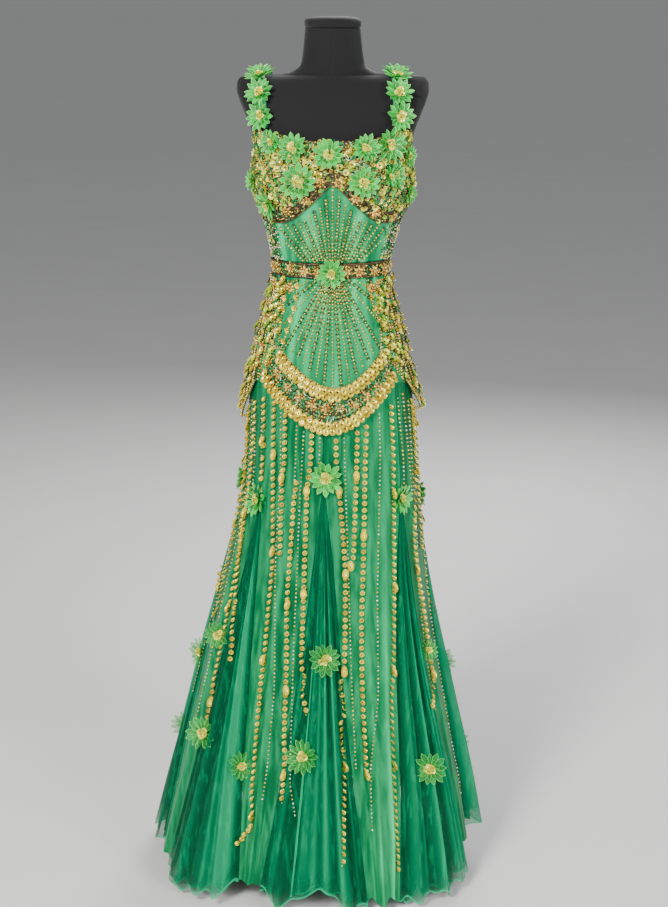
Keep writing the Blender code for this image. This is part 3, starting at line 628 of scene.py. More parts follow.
Godet = namedtuple("Godet", "name angle half_width apex folds")
GODETS = (
    Godet("front", YOKE_LOWEST, 16.5, 0.800, ((0.22, 0.020), (0.50, 0.026), (0.78, 0.019))),
    Godet("front_right", YOKE_RIGHT, 24.5, 0.765,
          ((0.18, 0.020), (0.40, 0.027), (0.62, 0.024), (0.83, 0.018))),
    Godet("side_right", 97, 15.0, 0.740, ((0.24, 0.026), (0.53, 0.034), (0.80, 0.022))),
    Godet("back_right", 153, 20.0, 0.770, ((0.20, 0.020), (0.47, 0.030), (0.77, 0.026))),
    Godet("back_left", 207, 20.0, 0.770, ((0.22, 0.026), (0.50, 0.030), (0.80, 0.019))),
    Godet("side_left", 261, 19.0, 0.775, ((0.23, 0.028), (0.50, 0.036), (0.78, 0.024))),
    Godet("front_left", YOKE_LEFT + 360, 21.0, 0.765,
          ((0.17, 0.018), (0.38, 0.026), (0.61, 0.029), (0.83, 0.020))),
)
GODET = {godet.name: godet for godet in GODETS}
GODET_OPENS, SEAM_TO_FOLDS = 0.72, 0.14
Gore = namedtuple("Gore", "name before after folds")
GORES = (
    Gore("front_right", "front", "front_right", ((0.52, 0.016),)),
    Gore("side_right", "front_right", "side_right", ((0.48, 0.009),)),
    Gore("back_right", "side_right", "back_right", ((0.50, 0.016),)),
    Gore("back", "back_right", "back_left", ((0.46, 0.014),)),
    Gore("back_left", "back_left", "side_left", ((0.54, 0.013),)),
    Gore("side_left", "side_left", "front_left", ((0.52, 0.009),)),
    Gore("front_left", "front_left", "front", ((0.47, 0.010),)),
)


def godet_half_angle(godet, z):
    share = np.maximum(0, (godet.apex - z) / (godet.apex - hem_height(godet.angle)))
    return godet.half_width * share**GODET_OPENS


def fold_depth(folds, share, drop, narrow, flat):
    """How far the cloth stands out at a share of a panel's width, flat beside each seam."""
    total = sum(depth * np.exp(-(((share - middle) / narrow) ** 2)) for middle, depth in folds)
    to_seam = np.minimum(share, 1 - share)
    return total * smooth(flat, flat + SEAM_TO_FOLDS, to_seam) * np.maximum(0, drop)


# %% [markdown]
# ### The dress form
#
# A smooth torso covered with black jersey, cut in panels that meet at the centre front. The seam
# is painted into the points along the middle, and the finish sinks it a little.

# %% The dress form and its cap
FORM_FOOT, NECK_TOP = 0.860, 1.6302
FORM_COLUMNS, FORM_ROWS, LEVELS_READ = 96, 120, 400
# The share of its rows that lie below each height: they are closest where the shoulders turn over
ROWS_BELOW = ((FORM_FOOT, 1.50, 1.56, NECK_TOP), (0, 0.42, 0.86, 1))
SEAM_WIDTH = 0.0016
CAP_OUTLINE = (
    (0, 1.6500), (0.024, 1.6494), (0.040, 1.6474), (0.0485, 1.6448), (0.0509, 1.6422), (0.0515, 1.6400),
    (0.0515, 1.6330), (0.0508, 1.6316), (0.0500, 1.6306), (0, 1.6306),
)


def make_form():
    levels = np.linspace(FORM_FOOT, NECK_TOP, LEVELS_READ)
    heights = np.interp(np.linspace(0, 1, FORM_ROWS + 1), np.interp(levels, *ROWS_BELOW), levels)
    bm, u, v = grid(FORM_COLUMNS, FORM_ROWS)
    move(bm, form_point(360 * u + 180, heights[np.round(v * FORM_ROWS).astype(int)]))
    bmesh.ops.remove_doubles(bm, verts=bm.verts, dist=0.00005)
    bmesh.ops.holes_fill(bm, edges=bm.edges, sides=FORM_COLUMNS)
    bmesh.ops.recalc_face_normals(bm, faces=bm.faces)
    seam = [math.exp(-((vert.co.x / SEAM_WIDTH) ** 2)) * (vert.co.y < 0) for vert in bm.verts]
    return add_piece("dress_form", mesh_from(bm, seam=seam), jersey.material, ["form_torso"])


dress_form = make_form()
cap_mesh = mesh_from(turned_outline(CAP_OUTLINE, 64, 0.00002), seam=0)
add_piece("neck_cap", cap_mesh, jersey.material, ["form_neck_cap"])
for name in ("stand_base", "stand_pole"):
    nodes[name].data.materials.clear()
    nodes[name].data.materials.append(steel.material)
print("dress form:", len(dress_form.data.polygons), "faces")

# %% [markdown]
# ## The fitted part of the dress
#
# Bodice, belt and yoke fit the figure closely, so each panel is a patch of the same surface
# between its four seams. Bead lines pull satin into shallow waves, which run along the lines.

# %% Fitted panels
PUCKER, FITTED_WALL, RIPPLES = 0.0005, 0.0014, 7
# Painted light level of the fitted panels, round which their ripples paint light and shade
SATIN_SHADE_LEVEL, NET_SHADE_LEVEL = 0.58, 0.5


def ripples(angle, z, seed):
    """Shallow, uneven waves, most of them running down the cloth."""
    wave = random.Random(seed)
    total = np.zeros_like(np.asarray(z, float))
    for _ in range(RIPPLES):
        across, down, phase = wave.uniform(0.12, 0.55), wave.uniform(-26, 26), wave.uniform(0, 6.28)
        total += np.sin(angle * across + z * down + phase) / RIPPLES
    return total


def fitted_panel(name, left, right, low, high, columns, rows, material, node):
    """A panel between two angles and two seams, in place of one solid."""
    slot, shade_level = "beaded_net", NET_SHADE_LEVEL
    if material is satin:
        slot, shade_level = "emerald_satin", SATIN_SHADE_LEVEL

    def place(u, v):
        middle = left + (right - left) * u
        bottom, top = low(middle) + SEAM_GAP / 2, high(middle) - SEAM_GAP / 2
        z = bottom + (top - bottom) * v
        inset = degrees_for(middle, z, SEAM_GAP / 2)
        angle = left + inset + (right - left - 2 * inset) * u
        wave = ripples(angle, z, len(name))
        # The ripples are painted as light and shade as well as raised
        return lifted(angle, z, PUCKER * wave), np.clip(shade_level + 0.5 * wave, 0, 1), 0

    cloth(name, columns, rows, place, material, [node], FITTED_WALL)


belt_top, belt_foot = level(BELT_TOP), level(BELT_FOOT)
fitted_panel("bust_front_piece", -SIDE_SEAM, SIDE_SEAM, bust_seam, neckline, 120, 34,
             beaded_ground, "bust_front")
fitted_panel("midriff_satin", -PRINCESS_SEAM, PRINCESS_SEAM, belt_top, bust_seam, 96, 32,
             satin, "midriff_front")
for side, left, right in (("left", -SIDE_SEAM, -PRINCESS_SEAM), ("right", PRINCESS_SEAM, SIDE_SEAM)):
    fitted_panel(f"midriff_side_{side}_net", left, right, belt_top, bust_seam, 24, 24,
                 green_ground, f"midriff_side_{side}")
for side, left, right in (("right", SIDE_SEAM, BACK_SEAM), ("left", BACK_SEAM, 360 - SIDE_SEAM)):
    fitted_panel(f"back_{side}_piece", left, right, belt_top, neckline, 60, 44,
                 green_ground, f"bodice_back_{side}")
fitted_panel("yoke_front_satin", YOKE_LEFT, YOKE_RIGHT, yoke_foot, belt_foot, 90, 48, satin, "yoke_front")
for side, left, right in (("right", YOKE_RIGHT, BACK_SEAM), ("left", BACK_SEAM, 360 + YOKE_LEFT)):
    fitted_panel(f"yoke_back_{side}_satin", left, right, yoke_foot, belt_foot, 84, 40,
                 satin, f"yoke_back_{side}")
print("fitted panels:", len(cut_sheets))

# %% [markdown]
# ## The skirt
#
# Seven satin gores hang from the yoke, and a gathered net godet is let in between each pair. The
# gores keep the soft rolls that satin makes as it hangs. Each godet is two layers of net with
# folds of their own, so that the cloth looks deeper where the layers cross, as in real tulle.

# %% Folds listed one by one
Roll = namedtuple("Roll", "top_share hem_share depth width starts")
GORE_ROLLS = {
    "front_right": (Roll(0.22, 0.20, 0.007, 0.060, 0.84), Roll(0.50, 0.40, 0.010, 0.065, 0.90),
                    Roll(0.76, 0.74, 0.013, 0.085, 0.88)),
    "front_left": (Roll(0.16, 0.24, 0.007, 0.060, 0.86), Roll(0.42, 0.55, 0.012, 0.070, 0.90),
                   Roll(0.70, 0.78, 0.009, 0.060, 0.82)),
    "side_right": (Roll(0.26, 0.30, 0.009, 0.070, 0.84), Roll(0.66, 0.62, 0.011, 0.080, 0.88)),
    "side_left": (Roll(0.30, 0.26, 0.010, 0.070, 0.82), Roll(0.70, 0.68, 0.011, 0.075, 0.88)),
    "back_right": (Roll(0.24, 0.20, 0.010, 0.060, 0.84), Roll(0.76, 0.80, 0.012, 0.060, 0.78)),
    "back": (Roll(0.20, 0.22, 0.008, 0.060, 0.86), Roll(0.72, 0.76, 0.011, 0.070, 0.82)),
    "back_left": (Roll(0.22, 0.26, 0.010, 0.060, 0.86), Roll(0.74, 0.72, 0.010, 0.060, 0.80)),
}
# Painted light and shade on a gore's satin at its left and right seams, away from its folds: the front gores
# are painted darker towards the centre front and lighter towards the sides, most on the right
GORE_PAINTED_LIGHT = {"front_right": (0.17, 0.52), "front_left": (0.34, 0.15)}
OTHER_GORES_PAINTED_LIGHT = (0.26, 0.26)
ROLLS_NEED, ROLLS_GROW, ROLLS_WANDER = 0.11, 0.7, 0.012
GORE_WAVE, GORE_COLUMNS, GORE_ROWS = 0.0030, 56, 100
ROLL_SHADE, FOLD_SHADE, WAVE_SHADE = 34, 8, 75
FLOOR_CLEARANCE = 0.004


def rolls_out(rolls, share, z):
    """How far the listed rolls stand out; they grow towards the hem and wander a little."""
    total = np.zeros_like(z)
    for roll in rolls:
        down = np.clip((roll.starts - z) / roll.starts, 0, 1)
        middle = roll.top_share + (roll.hem_share - roll.top_share) * down
        middle = middle + ROLLS_WANDER * np.sin(z * 17 + roll.depth * 900)
        total += roll.depth * down**ROLLS_GROW * np.exp(-(((share - middle) / roll.width) ** 2))
    return total * smooth(0.02, 0.10, np.minimum(share, 1 - share))


def make_gore(gore):
    before, after = GODET[gore.before], GODET[gore.after]
    start, end = before.angle, after.angle + 360 * (after.angle < before.angle)
    painted_light_left, painted_light_right = GORE_PAINTED_LIGHT.get(gore.name, OTHER_GORES_PAINTED_LIGHT)

    def place(u, v):
        hem_left, hem_right = start + before.half_width, end - after.half_width
        bottom = hem_height(hem_left + (hem_right - hem_left) * u)
        top = yoke_foot(start + (end - start) * u) - SEAM_GAP / 2
        z = bottom + (top - bottom) * v
        left = start + godet_half_angle(before, z) + degrees_for(start, z, SEAM_GAP / 2)
        right = end - godet_half_angle(after, z) - degrees_for(end, z, SEAM_GAP / 2)
        angle = left + (right - left) * u
        large = fold_depth(gore.folds, u, (SKIRT_FREE - z) / SKIRT_FREE, 0.17, 0.13)
        room = np.clip((right - left) / degrees_for(start, z, ROLLS_NEED), 0, 1)
        small = rolls_out(GORE_ROLLS[gore.name], u, z) * room
        loose = (1 - smooth(0.25, 0.90, z)) * room * smooth(0, 0.1, np.minimum(u, 1 - u))
        wave = ripples(angle, z, len(gore.name) + 3) * GORE_WAVE * loose
        # Painted light and shade: across the gore as above, lighter on its rolls and folds, and following the
        # ripples
        light = painted_light_left + (painted_light_right - painted_light_left) * u
        shade = light + small * ROLL_SHADE + large * FOLD_SHADE + wave * WAVE_SHADE
        return lifted(angle, z, large + small - 0.35 * small.mean() + wave), np.clip(shade, 0, 1), 0

    return cloth(f"gore_{gore.name}_satin", GORE_COLUMNS, GORE_ROWS, place, satin, ["gore_" + gore.name])


gores = [make_gore(gore) for gore in GORES]
print("satin gores:", len(gores), "points each:", len(gores[0].data.vertices))

# %% Net godets in two layers
NET_LAYERS = (("", 0.0, 1.0), ("_under", -0.009, 0.6))
PLEATS, FLUTTERS, CRUMPLE = 11, 5, 0.004
GODET_ROWS, ROLLED_EDGE, NARROWEST_NET = 84, 0.0022, 0.0048


def godet_top(godet):
    """The height at which the opening between two gores is wide enough for the net."""
    heights = np.arange(godet.apex, 0.4, -0.002)
    wide = 2 * godet_half_angle(godet, heights) >= degrees_for(godet.angle, heights, NARROWEST_NET)
    return float(heights[wide][0])


def make_godet(godet, layer, sink, pleat):
    top = godet_top(godet)
    wave = random.Random(godet.name + layer)
    pleats = [(wave.uniform(0.06, 0.94), wave.uniform(0.0030, 0.0085), wave.uniform(0.016, 0.050))
              for _ in range(PLEATS)]
    flutter = [(wave.uniform(12, 42), wave.uniform(0, 6.28), wave.uniform(0.0015, 0.005))
               for _ in range(FLUTTERS)]

    def place(u, v):
        bottom = hem_height(godet.angle + godet.half_width * (2 * u - 1))
        bottom = bottom + sum(high * np.sin(u * often + phase) for often, phase, high in flutter)
        bottom = np.maximum(bottom, FLOOR_CLEARANCE)
        z = bottom + (top - bottom) * v
        half = godet_half_angle(godet, z) - degrees_for(godet.angle, z, SEAM_GAP / 2)
        drop = (godet.apex - z) / godet.apex
        edge = np.minimum(u, 1 - u)
        off_seam = smooth(0, 0.06, edge)
        large = fold_depth(godet.folds, u, drop, 0.11, 0.08)
        fine = sum(deep * np.exp(-(((u - middle) / width) ** 2)) for middle, deep, width in pleats)
        fine = (fine - fine.mean()) * np.clip(drop * 2.2, 0, 1) * off_seam
        crumple = ripples(godet.angle + 60 * u, z, len(godet.name) * 7 + len(layer))
        crumple = crumple * CRUMPLE * smooth(0.25, 1.0, drop)
        sunk = sink * smooth(0.0, 0.12, edge) * smooth(0, 0.3, drop)
        away = large * pleat + fine + crumple * off_seam + sunk
        rolled = np.exp(-(((z - bottom) / ROLLED_EDGE) ** 2))
        rim = np.maximum(rolled, SHEER_HEM * (1 - smooth(0.004, 0.055, z - bottom)))
        shade = 0.36 + fine * 70 + large * 9 + crumple * 40
        return lifted(godet.angle + half * (2 * u - 1), z, away), np.clip(shade, 0, 1), rim

    replaced = [] if layer else ["godet_" + godet.name]
    cloth(f"godet_{godet.name}_net{layer}", 20 * len(godet.folds), GODET_ROWS, place,
          net_under if layer else net, replaced,
          lay=not layer)


for godet in GODETS:
    for layer, sink, pleat in NET_LAYERS:
        make_godet(godet, layer, sink, pleat)
print("sheets so far:", len(cut_sheets))

# %% [markdown]
# ### Pieces laid over the others
#
# The belt is let in at the waist. The closing strips, the pointed drapes over the hips and the
# crescent lie on the cloth below them, so each point is set just above the highest cloth near it.

# %% The cloth below a piece
LAY_ON, NEAR = 0.0007, 0.006
# Rays start this far outside the figure and look for cloth this far
FROM_OUTSIDE, RAY_LENGTH = 0.12, 0.25


def cloth_tree():
    return BVHTree.FromPolygons([Vector(point) for point in np.concatenate(laid_points)], laid_faces)


def height_of_cloth(tree, angle, z):
    """How far the cloth stands out around each point, the most within a short reach of it."""
    most = np.zeros_like(angle)
    turn = degrees_for(angle, z, NEAR)
    around = [(0, 0)] + [(math.cos(k * math.pi / 3), math.sin(k * math.pi / 3)) for k in range(6)]
    for across, up in around:
        here, there = angle + across * turn, z + up * NEAR
        direction = outward(base_point, here, there)
        starts = base_point(here, there) + direction * FROM_OUTSIDE
        for i, (start, way) in enumerate(zip(starts, direction)):
            distance = tree.ray_cast(Vector(start), -Vector(way), RAY_LENGTH)[3]
            if distance is not None:
                most[i] = max(most[i], FROM_OUTSIDE - distance)
    return most


def overlay(name, place_flat, columns, rows, wall, material, node, out=None):
    """A piece laid on the cloth below it; out(u, v) lifts parts of it farther off."""
    tree = cloth_tree()

    def place(u, v):
        angle, z = place_flat(u, v)
        away = height_of_cloth(tree, angle, z) + LAY_ON + wall
        if out:
            away = away + out(u, v)
        # The ripples are painted as light and shade round a middle level
        return lifted(angle, z, away), 0.5 + 0.5 * ripples(angle, z, len(name)), 0

    cloth(name, columns, rows, place, material, [node], wall)


# %% Belt, closing strips, drapes and crescent
BELT_ENDS_APART, BELT_PROUD, STRIP_HALF_WIDTH = 0.15, 0.0014, 0.009


def belt_place(u, v):
    angle = BACK_SEAM + BELT_ENDS_APART + (360 - 2 * BELT_ENDS_APART) * u
    z = BELT_FOOT + SEAM_GAP / 2 + (BELT_TOP - BELT_FOOT - SEAM_GAP) * v
    return lifted(angle, z, np.full_like(u, BELT_PROUD)), 0.5, 0


def closing_strip(part, foot, top):
    def place_flat(u, v):
        z = foot + (top - foot) * v
        half = degrees_for(np.full_like(z, BACK_SEAM), z, STRIP_HALF_WIDTH)
        return BACK_SEAM - half + 2 * half * u, z

    overlay(f"closing_strip_{part}_satin", place_flat, 8, 40, 0.0012, satin, "closing_strip_" + part)


Drape = namedtuple("Drape", "side left right tip tip_z")
DRAPES = (Drape("left", -118, -62, -82, 0.912), Drape("right", 62, 118, 84, 0.926))
DRAPE_SHOULDER, DRAPE_LIES_FROM, DRAPE_FREE = 0.992, 1.03, 0.012
# The crescent's edges: middle angle, half width in degrees, height of the middle, rise at the tips
CRESCENT_LOW, CRESCENT_HIGH = (-2.0, 52.0, 0.904, 0.102), (2.0, 40.0, 0.985, 0.068)
CRESCENT_ROUNDING = 0.30


def drape_place(drape, u, v):
    """Angle and height on a hip drape, across from its left edge and up from its pointed tip."""
    angle = drape.left + (drape.right - drape.left) * np.asarray(u, float)
    away = np.where(angle < drape.tip, (drape.tip - angle) / (drape.tip - drape.left),
                    (angle - drape.tip) / (drape.right - drape.tip))
    bottom = drape.tip_z + (DRAPE_SHOULDER - drape.tip_z) * away
    return angle, bottom + (BELT_FOOT - 0.002 - bottom) * v


def hip_drape(drape):
    def place_flat(u, v):
        return drape_place(drape, u, v)

    def out(u, v):
        return DRAPE_FREE * (1 - smooth(drape.tip_z, DRAPE_LIES_FROM, place_flat(u, v)[1]))

    overlay(f"hip_drape_{drape.side}_net", place_flat, 40, 30, 0.0018, green_ground,
            f"hip_drape_{drape.side}", out)


def crescent_edge(share, middle, half_angle, foot, rise):
    climb = np.hypot(share, CRESCENT_ROUNDING) - CRESCENT_ROUNDING
    full_climb = math.hypot(1, CRESCENT_ROUNDING) - CRESCENT_ROUNDING
    return middle + half_angle * share, foot + rise * climb / full_climb


def crescent_place(u, v):
    """Angle and height on the crescent, across from its left tip and up from its lower edge."""
    share = 2 * np.asarray(u, float) - 1
    low, high = crescent_edge(share, *CRESCENT_LOW), crescent_edge(share, *CRESCENT_HIGH)
    return [start + (end - start) * v for start, end in zip(low, high)]


cloth("waistband", 220, 10, belt_place, beaded_ground, ["waist_belt"],
      0.0028)
closing_strip("back", BELT_TOP + 0.001, BACK_CENTRE - 0.004)
closing_strip("hip", YOKE_FOOT_SIDE + 0.001, BELT_FOOT - 0.001)
for drape in DRAPES:
    hip_drape(drape)
overlay("crescent_net", crescent_place, 96, 16, 0.0026, beaded_ground, "crescent")
dress_tree = cloth_tree()
print("cut sizes, width by length in metres:", cut_sheets)

# %% [markdown]
# ## Small things by the thousand
#
# Beads, cupped sequins and petals repeat many times. Each shape is modelled once with few faces.
# A list of places then copies it, with numpy, into one joined mesh for each kind and region.
# A place is a point on the cloth, the way out of the cloth there, and the way up along it.

# %% Places on the cloth
Places = namedtuple("Places", "points out up")


def turned_places(points, out, up=((0, 0, 1),)):
    """Places whose up lies in the cloth, square to out."""
    points, out, up = (np.asarray(part, float).reshape(-1, 3) for part in (points, out, up))
    out = out / np.linalg.norm(out, axis=1, keepdims=True)
    up = up - out * (up * out).sum(axis=1, keepdims=True)
    return Places(points, out, up / np.maximum(np.linalg.norm(up, axis=1, keepdims=True), 1e-9))


def joined(*several):
    return Places(*(np.concatenate(parts) for parts in zip(*several)))


def chosen(places, which):
    return Places(*(part[which] for part in places))


def shifted(places, ways, distance):
    return places._replace(points=places.points + ways * np.asarray(distance, float).reshape(-1, 1))


def raised(places, height):
    return shifted(places, places.out, height)


def seen_on_cloth(pixels):
    """Where the camera sees each pixel on the dress; pixels that miss it are left out."""
    points, out = [], []
    for u, v in pixels:
        point, normal, _, _ = dress_tree.ray_cast(CAMERA_PLACE, sight_line(u, v))
        if point is not None:
            points.append(point)
            out.append(normal if normal.y < 0 or abs(normal.x) > 0.2 else -normal)
    return turned_places(points, out)


def worn_places(angle, z):
    """Places on the dress at angles and heights, found from outside the figure."""
    angle, z = np.broadcast_arrays(np.asarray(angle, float), np.asarray(z, float))
    ways = outward(base_point, angle, z)
    starts, points, out = base_point(angle, z) + ways * FROM_OUTSIDE, [], []
    for start, way in zip(starts.reshape(-1, 3), ways.reshape(-1, 3)):
        start, way = Vector(start), Vector(way)
        point, normal, _, _ = dress_tree.ray_cast(start, -way, RAY_LENGTH)
        if point is None:
            point, normal = start - way * FROM_OUTSIDE, way
        points.append(point)
        out.append(normal if normal.dot(way) > 0 else -normal)
    return turned_places(points, out)


def along(places, pitch, start=0.5):
    """Places every so far along a line of places, each with its up along the line."""
    if len(places.points) < 2:
        return places
    steps = np.linalg.norm(np.diff(places.points, axis=0), axis=1)
    travelled = np.concatenate([[0], np.cumsum(steps)])
    wanted = np.arange(pitch * start, travelled[-1], pitch)

    def read(columns, where):
        return np.stack([np.interp(where, travelled, column) for column in columns.T], axis=1)

    up = read(places.points, wanted - pitch / 2) - read(places.points, wanted + pitch / 2)
    return turned_places(read(places.points, wanted), read(places.out, wanted), up)


# %% Shapes that repeat
Shape = namedtuple("Shape", "points faces rim")


def shape_from(bm, rim=None):
    """Keeps a bmesh as plain arrays; rim is 1 on a petal's pale edge, and round a disc's hole, where shade is
    painted.
    """
    bm.verts.index_update()
    points = np.array([vert.co for vert in bm.verts])
    faces = np.array([[vert.index for vert in face.verts] for face in bm.faces])
    bm.free()
    return Shape(points, faces, np.zeros(len(points)) if rim is None else np.array(rim, float))


def round_bead():
    bm = bmesh.new()
    bmesh.ops.create_icosphere(bm, subdivisions=1, radius=1)
    return shape_from(bm)


def turned_disc(outline, steps):
    """A small dish spun from its half outline, from its hole to its rim."""
    bm = turned_outline(outline, steps, 0.001)
    if sum(face.normal.z for face in bm.faces) < 0:
        bmesh.ops.reverse_faces(bm, faces=bm.faces)
    # Points near the hole get the rim number, where the finish paints shade
    hole = 1.05 * outline[1][0]
    return shape_from(bm, [math.hypot(vert.co.x, vert.co.y) < hole for vert in bm.verts])


def leaf_bit():
    """A folded sliver of green film, pointed at both ends."""
    bm, u, v = grid(2, 3)
    side, length = 2 * u - 1, 2 * v - 1
    wide = 0.36 * (1 - length**2) + 0.02
    move(bm, np.stack([side * wide, length, 0.5 * np.abs(side) * wide + 0.10], axis=1))
    return shape_from(bm)


def petal_shape(width, cup, tip_lift):
    """A long petal from the middle outwards along +Y, with its edges turned up."""
    bm, u, v = grid(4, 5)
    side = np.sign(u - 0.5) * np.abs(2 * u - 1) ** 0.55
    rounding = np.sqrt(1 - np.maximum(0, (v - 0.6) / 0.4) ** 2)
    half = width * np.minimum(0.36 + 1.1 * v, 1) * rounding + 0.006
    height = cup * side * side * half / width + tip_lift * v * v - 0.05 * np.sin(np.pi * v)
    move(bm, np.stack([side * half, 0.10 + 0.90 * v, height], axis=1))
    return shape_from(bm, np.maximum(np.abs(side) ** 3, np.where(v > 0.99, 0.9, 0)))


BEAD = round_bead()
CUP = turned_disc([(0.18, 0.06), (0.32, 0.03), (0.70, 0.14), (1.0, 0.46)], 9)
PAILLETTE = turned_disc([(0.14, 0.10), (0.26, 0.04), (0.64, 0.10), (1.0, 0.40)], 14)
# On a string, a cup's hole and the painted shade round it lie above its middle, so the cup shows as a
# crescent
STRUNG_CUP = turned_disc([(0.22, 0.04), (0.44, 0.03), (0.74, 0.16), (1.0, 0.48)], 10)
STRUNG_CUP.points[:, 1] += 0.34 * (1 - np.hypot(*STRUNG_CUP.points[:, :2].T))
LEAF = leaf_bit()
LONG_PETAL, SHORT_PETAL = petal_shape(0.152, 0.07, 0.14), petal_shape(0.185, 0.10, 0.22)
print("faces in a bead, a cup, a paillette and a petal:",
      [len(shape.faces) for shape in (BEAD, CUP, PAILLETTE, LONG_PETAL)])

# %% One joined mesh from many places
chance = random.Random(7)


def draws(count, low=0.0, high=1.0):
    return np.array([chance.uniform(low, high) for _ in range(count)])


def copies(shape, places, size, tone=None, stretch=(1, 1, 1), lean=0.0):
    """Arrays for a shape copied to places: size is its radius, and lean tips its top outwards."""
    count = len(places.points)
    across = np.cross(places.up, places.out)
    tip = np.broadcast_to(np.asarray(lean, float), count)[:, None]
    up = places.up * np.cos(tip) + places.out * np.sin(tip)
    out = places.out * np.cos(tip) - places.up * np.sin(tip)
    scale = np.broadcast_to(np.asarray(size, float), count)[:, None, None]
    local = shape.points * np.array(stretch)
    moved = sum(local[None, :, i, None] * axis[:, None, :] for i, axis in enumerate((across, up, out)))
    points = places.points[:, None, :] + moved * scale
    tones = draws(count) if tone is None else np.broadcast_to(tone, count)
    faces = shape.faces[None] + np.arange(count)[:, None, None] * len(shape.points)
    return (points.reshape(-1, 3), faces.reshape(-1, shape.faces.shape[1]),
            np.repeat(tones, len(shape.points)), np.tile(shape.rim, count))


def sewn_on(name, material, *groups, slot="gold_paillettes", replaces=()):
    """Joins arrays of copies, all with the same number of corners a face, into one piece."""
    groups = [group for group in groups if len(group[0])]
    starts = np.cumsum([0] + [len(group[0]) for group in groups])
    points = np.concatenate([group[0] for group in groups])
    faces = np.concatenate([group[1] + start for group, start in zip(groups, starts)])
    mesh = bpy.data.meshes.new(name)
    mesh.vertices.add(len(points))
    mesh.vertices.foreach_set("co", points.astype(np.float32).ravel())
    mesh.loops.add(faces.size)
    mesh.loops.foreach_set("vertex_index", faces.astype(np.int32).ravel())
    mesh.polygons.add(len(faces))
    mesh.polygons.foreach_set("loop_start", np.arange(0, faces.size, faces.shape[1], dtype=np.int32))
    mesh.update(calc_edges=True)
    for label, part in (("tone", 2), ("rim", 3)):
        values = np.concatenate([group[part] for group in groups]).astype(np.float32)
        mesh.attributes.new(label, "FLOAT", "POINT").data.foreach_set("value", values)
    add_piece(name, mesh, material, replaces)


# %% [markdown]
# ## Flowers
#
# Each flower is two rings of stiff, sheer petals edged with pale thread, with cupped sequins and
# beads at its heart. The solids already hold each flower's place and radius, so both are read
# from them. The petals lean up from the cloth, the inner ring more than the outer one.

# %% A flower's parts
OUTER_PETALS, INNER_PETALS, HEART_CUPS, HEART_BEADS = 13, 9, 7, 7
# Lean in degrees, length in flower radii and tone of the petals, least and most
OUTER_LEAN, OUTER_LENGTH, OUTER_TONE = (4, 20), (0.98, 1.14), (0.35, 1.0)
INNER_LEAN, INNER_LENGTH, INNER_TONE = (22, 36), (0.62, 0.76), (0.05, 0.75)
ON_CLOTH, BODICE_FLOWER_LIFT = 0.0012, 0.0045


def ring_of(centre, out, up, count, turn, jitter):
    """Places round a middle, each with its up pointing outwards from it."""
    angles = 2 * math.pi * (np.arange(count) + draws(count, -jitter, jitter)) / count + turn
    ways = np.cos(angles)[:, None] * up + np.sin(angles)[:, None] * np.cross(up, out)
    return Places(np.repeat(centre[None], count, 0), np.repeat(out[None], count, 0), ways)


def spread_out(ring, distance):
    return shifted(ring, ring.up, distance)


def flower_parts(centre, out, up, radius, flat):
    """Copies that make up a flower: its petals, its gold cups, its beads and its amber bead."""
    turn = chance.uniform(0, 6.28)
    outer = ring_of(centre, out, up, OUTER_PETALS, turn, 0.12)
    inner = ring_of(centre + out * 0.0014, out, up, INNER_PETALS, turn + 0.2, 0.15)
    leans = np.radians(draws(OUTER_PETALS, *OUTER_LEAN) - flat)
    steep = np.radians(draws(INNER_PETALS, *INNER_LEAN) - flat)
    sizes = radius * draws(OUTER_PETALS, *OUTER_LENGTH)
    shorter = radius * draws(INNER_PETALS, *INNER_LENGTH)
    tones, darker = draws(OUTER_PETALS, *OUTER_TONE), draws(INNER_PETALS, *INNER_TONE)
    petals = [copies(LONG_PETAL, outer, sizes, tones, lean=leans),
              copies(SHORT_PETAL, spread_out(inner, radius * 0.08), shorter, darker, lean=steep)]
    heart = ring_of(centre + out * radius * 0.22, out, up, HEART_CUPS, turn, 0.4)
    heart = spread_out(heart, draws(HEART_CUPS, 0.5, 1.35) * radius * 0.20)
    cup_sizes = radius * draws(HEART_CUPS, 0.12, 0.21)
    cups = copies(CUP, heart, cup_sizes, 0.9, lean=draws(HEART_CUPS, -0.7, 0.3))
    beads = ring_of(centre + out * radius * 0.32, out, up, HEART_BEADS, turn + 0.4, 0.4)
    middle = Places(centre[None] + out * radius * 0.34, out[None], up[None])
    beads = copies(BEAD, spread_out(beads, radius * 0.16), radius * 0.058)
    return petals, [cups], [beads], [copies(BEAD, middle, radius * 0.075)]


def node_place(name, lift=ON_CLOTH):
    """The middle, the way out and the radius of a flower among the solids, raised off the cloth."""
    mesh = nodes[name].data
    points = np.array([vert.co for vert in mesh.vertices])
    middle = (points.min(0) + points.max(0)) / 2
    level_way = Vector((middle[0], middle[1], 0))
    out = sum(np.array(face.normal * face.area) for face in mesh.polygons if face.normal.dot(level_way) > 0)
    out = out / np.linalg.norm(out)
    low = ((points - middle) @ out).min()
    return middle + out * (low + lift), out, np.linalg.norm(points - middle, axis=1).max()


def flowers(name, places, material, replaces=(), flat=0.0):
    """Sewn flowers at (middle, out, radius), as a piece of petals and pieces of their hearts."""
    kinds = [], [], [], []
    for centre, out, radius in places:
        up = turned_places([centre], [out]).up[0]
        made = flower_parts(np.asarray(centre, float), out, up, radius, flat)
        for kept, parts in zip(kinds, made):
            kept.extend(parts)
    petals, cups, beads, amber = kinds
    sewn_on(name + "_petals", material, *petals, slot="green_petals", replaces=replaces)
    sewn_on(name + "_cups", pale_paillette, *cups)
    sewn_on(name + "_beads", lime_paillette, *beads)
    sewn_on(name + "_hearts", amber_bead, *amber)
    print(name, len(places), "flowers")


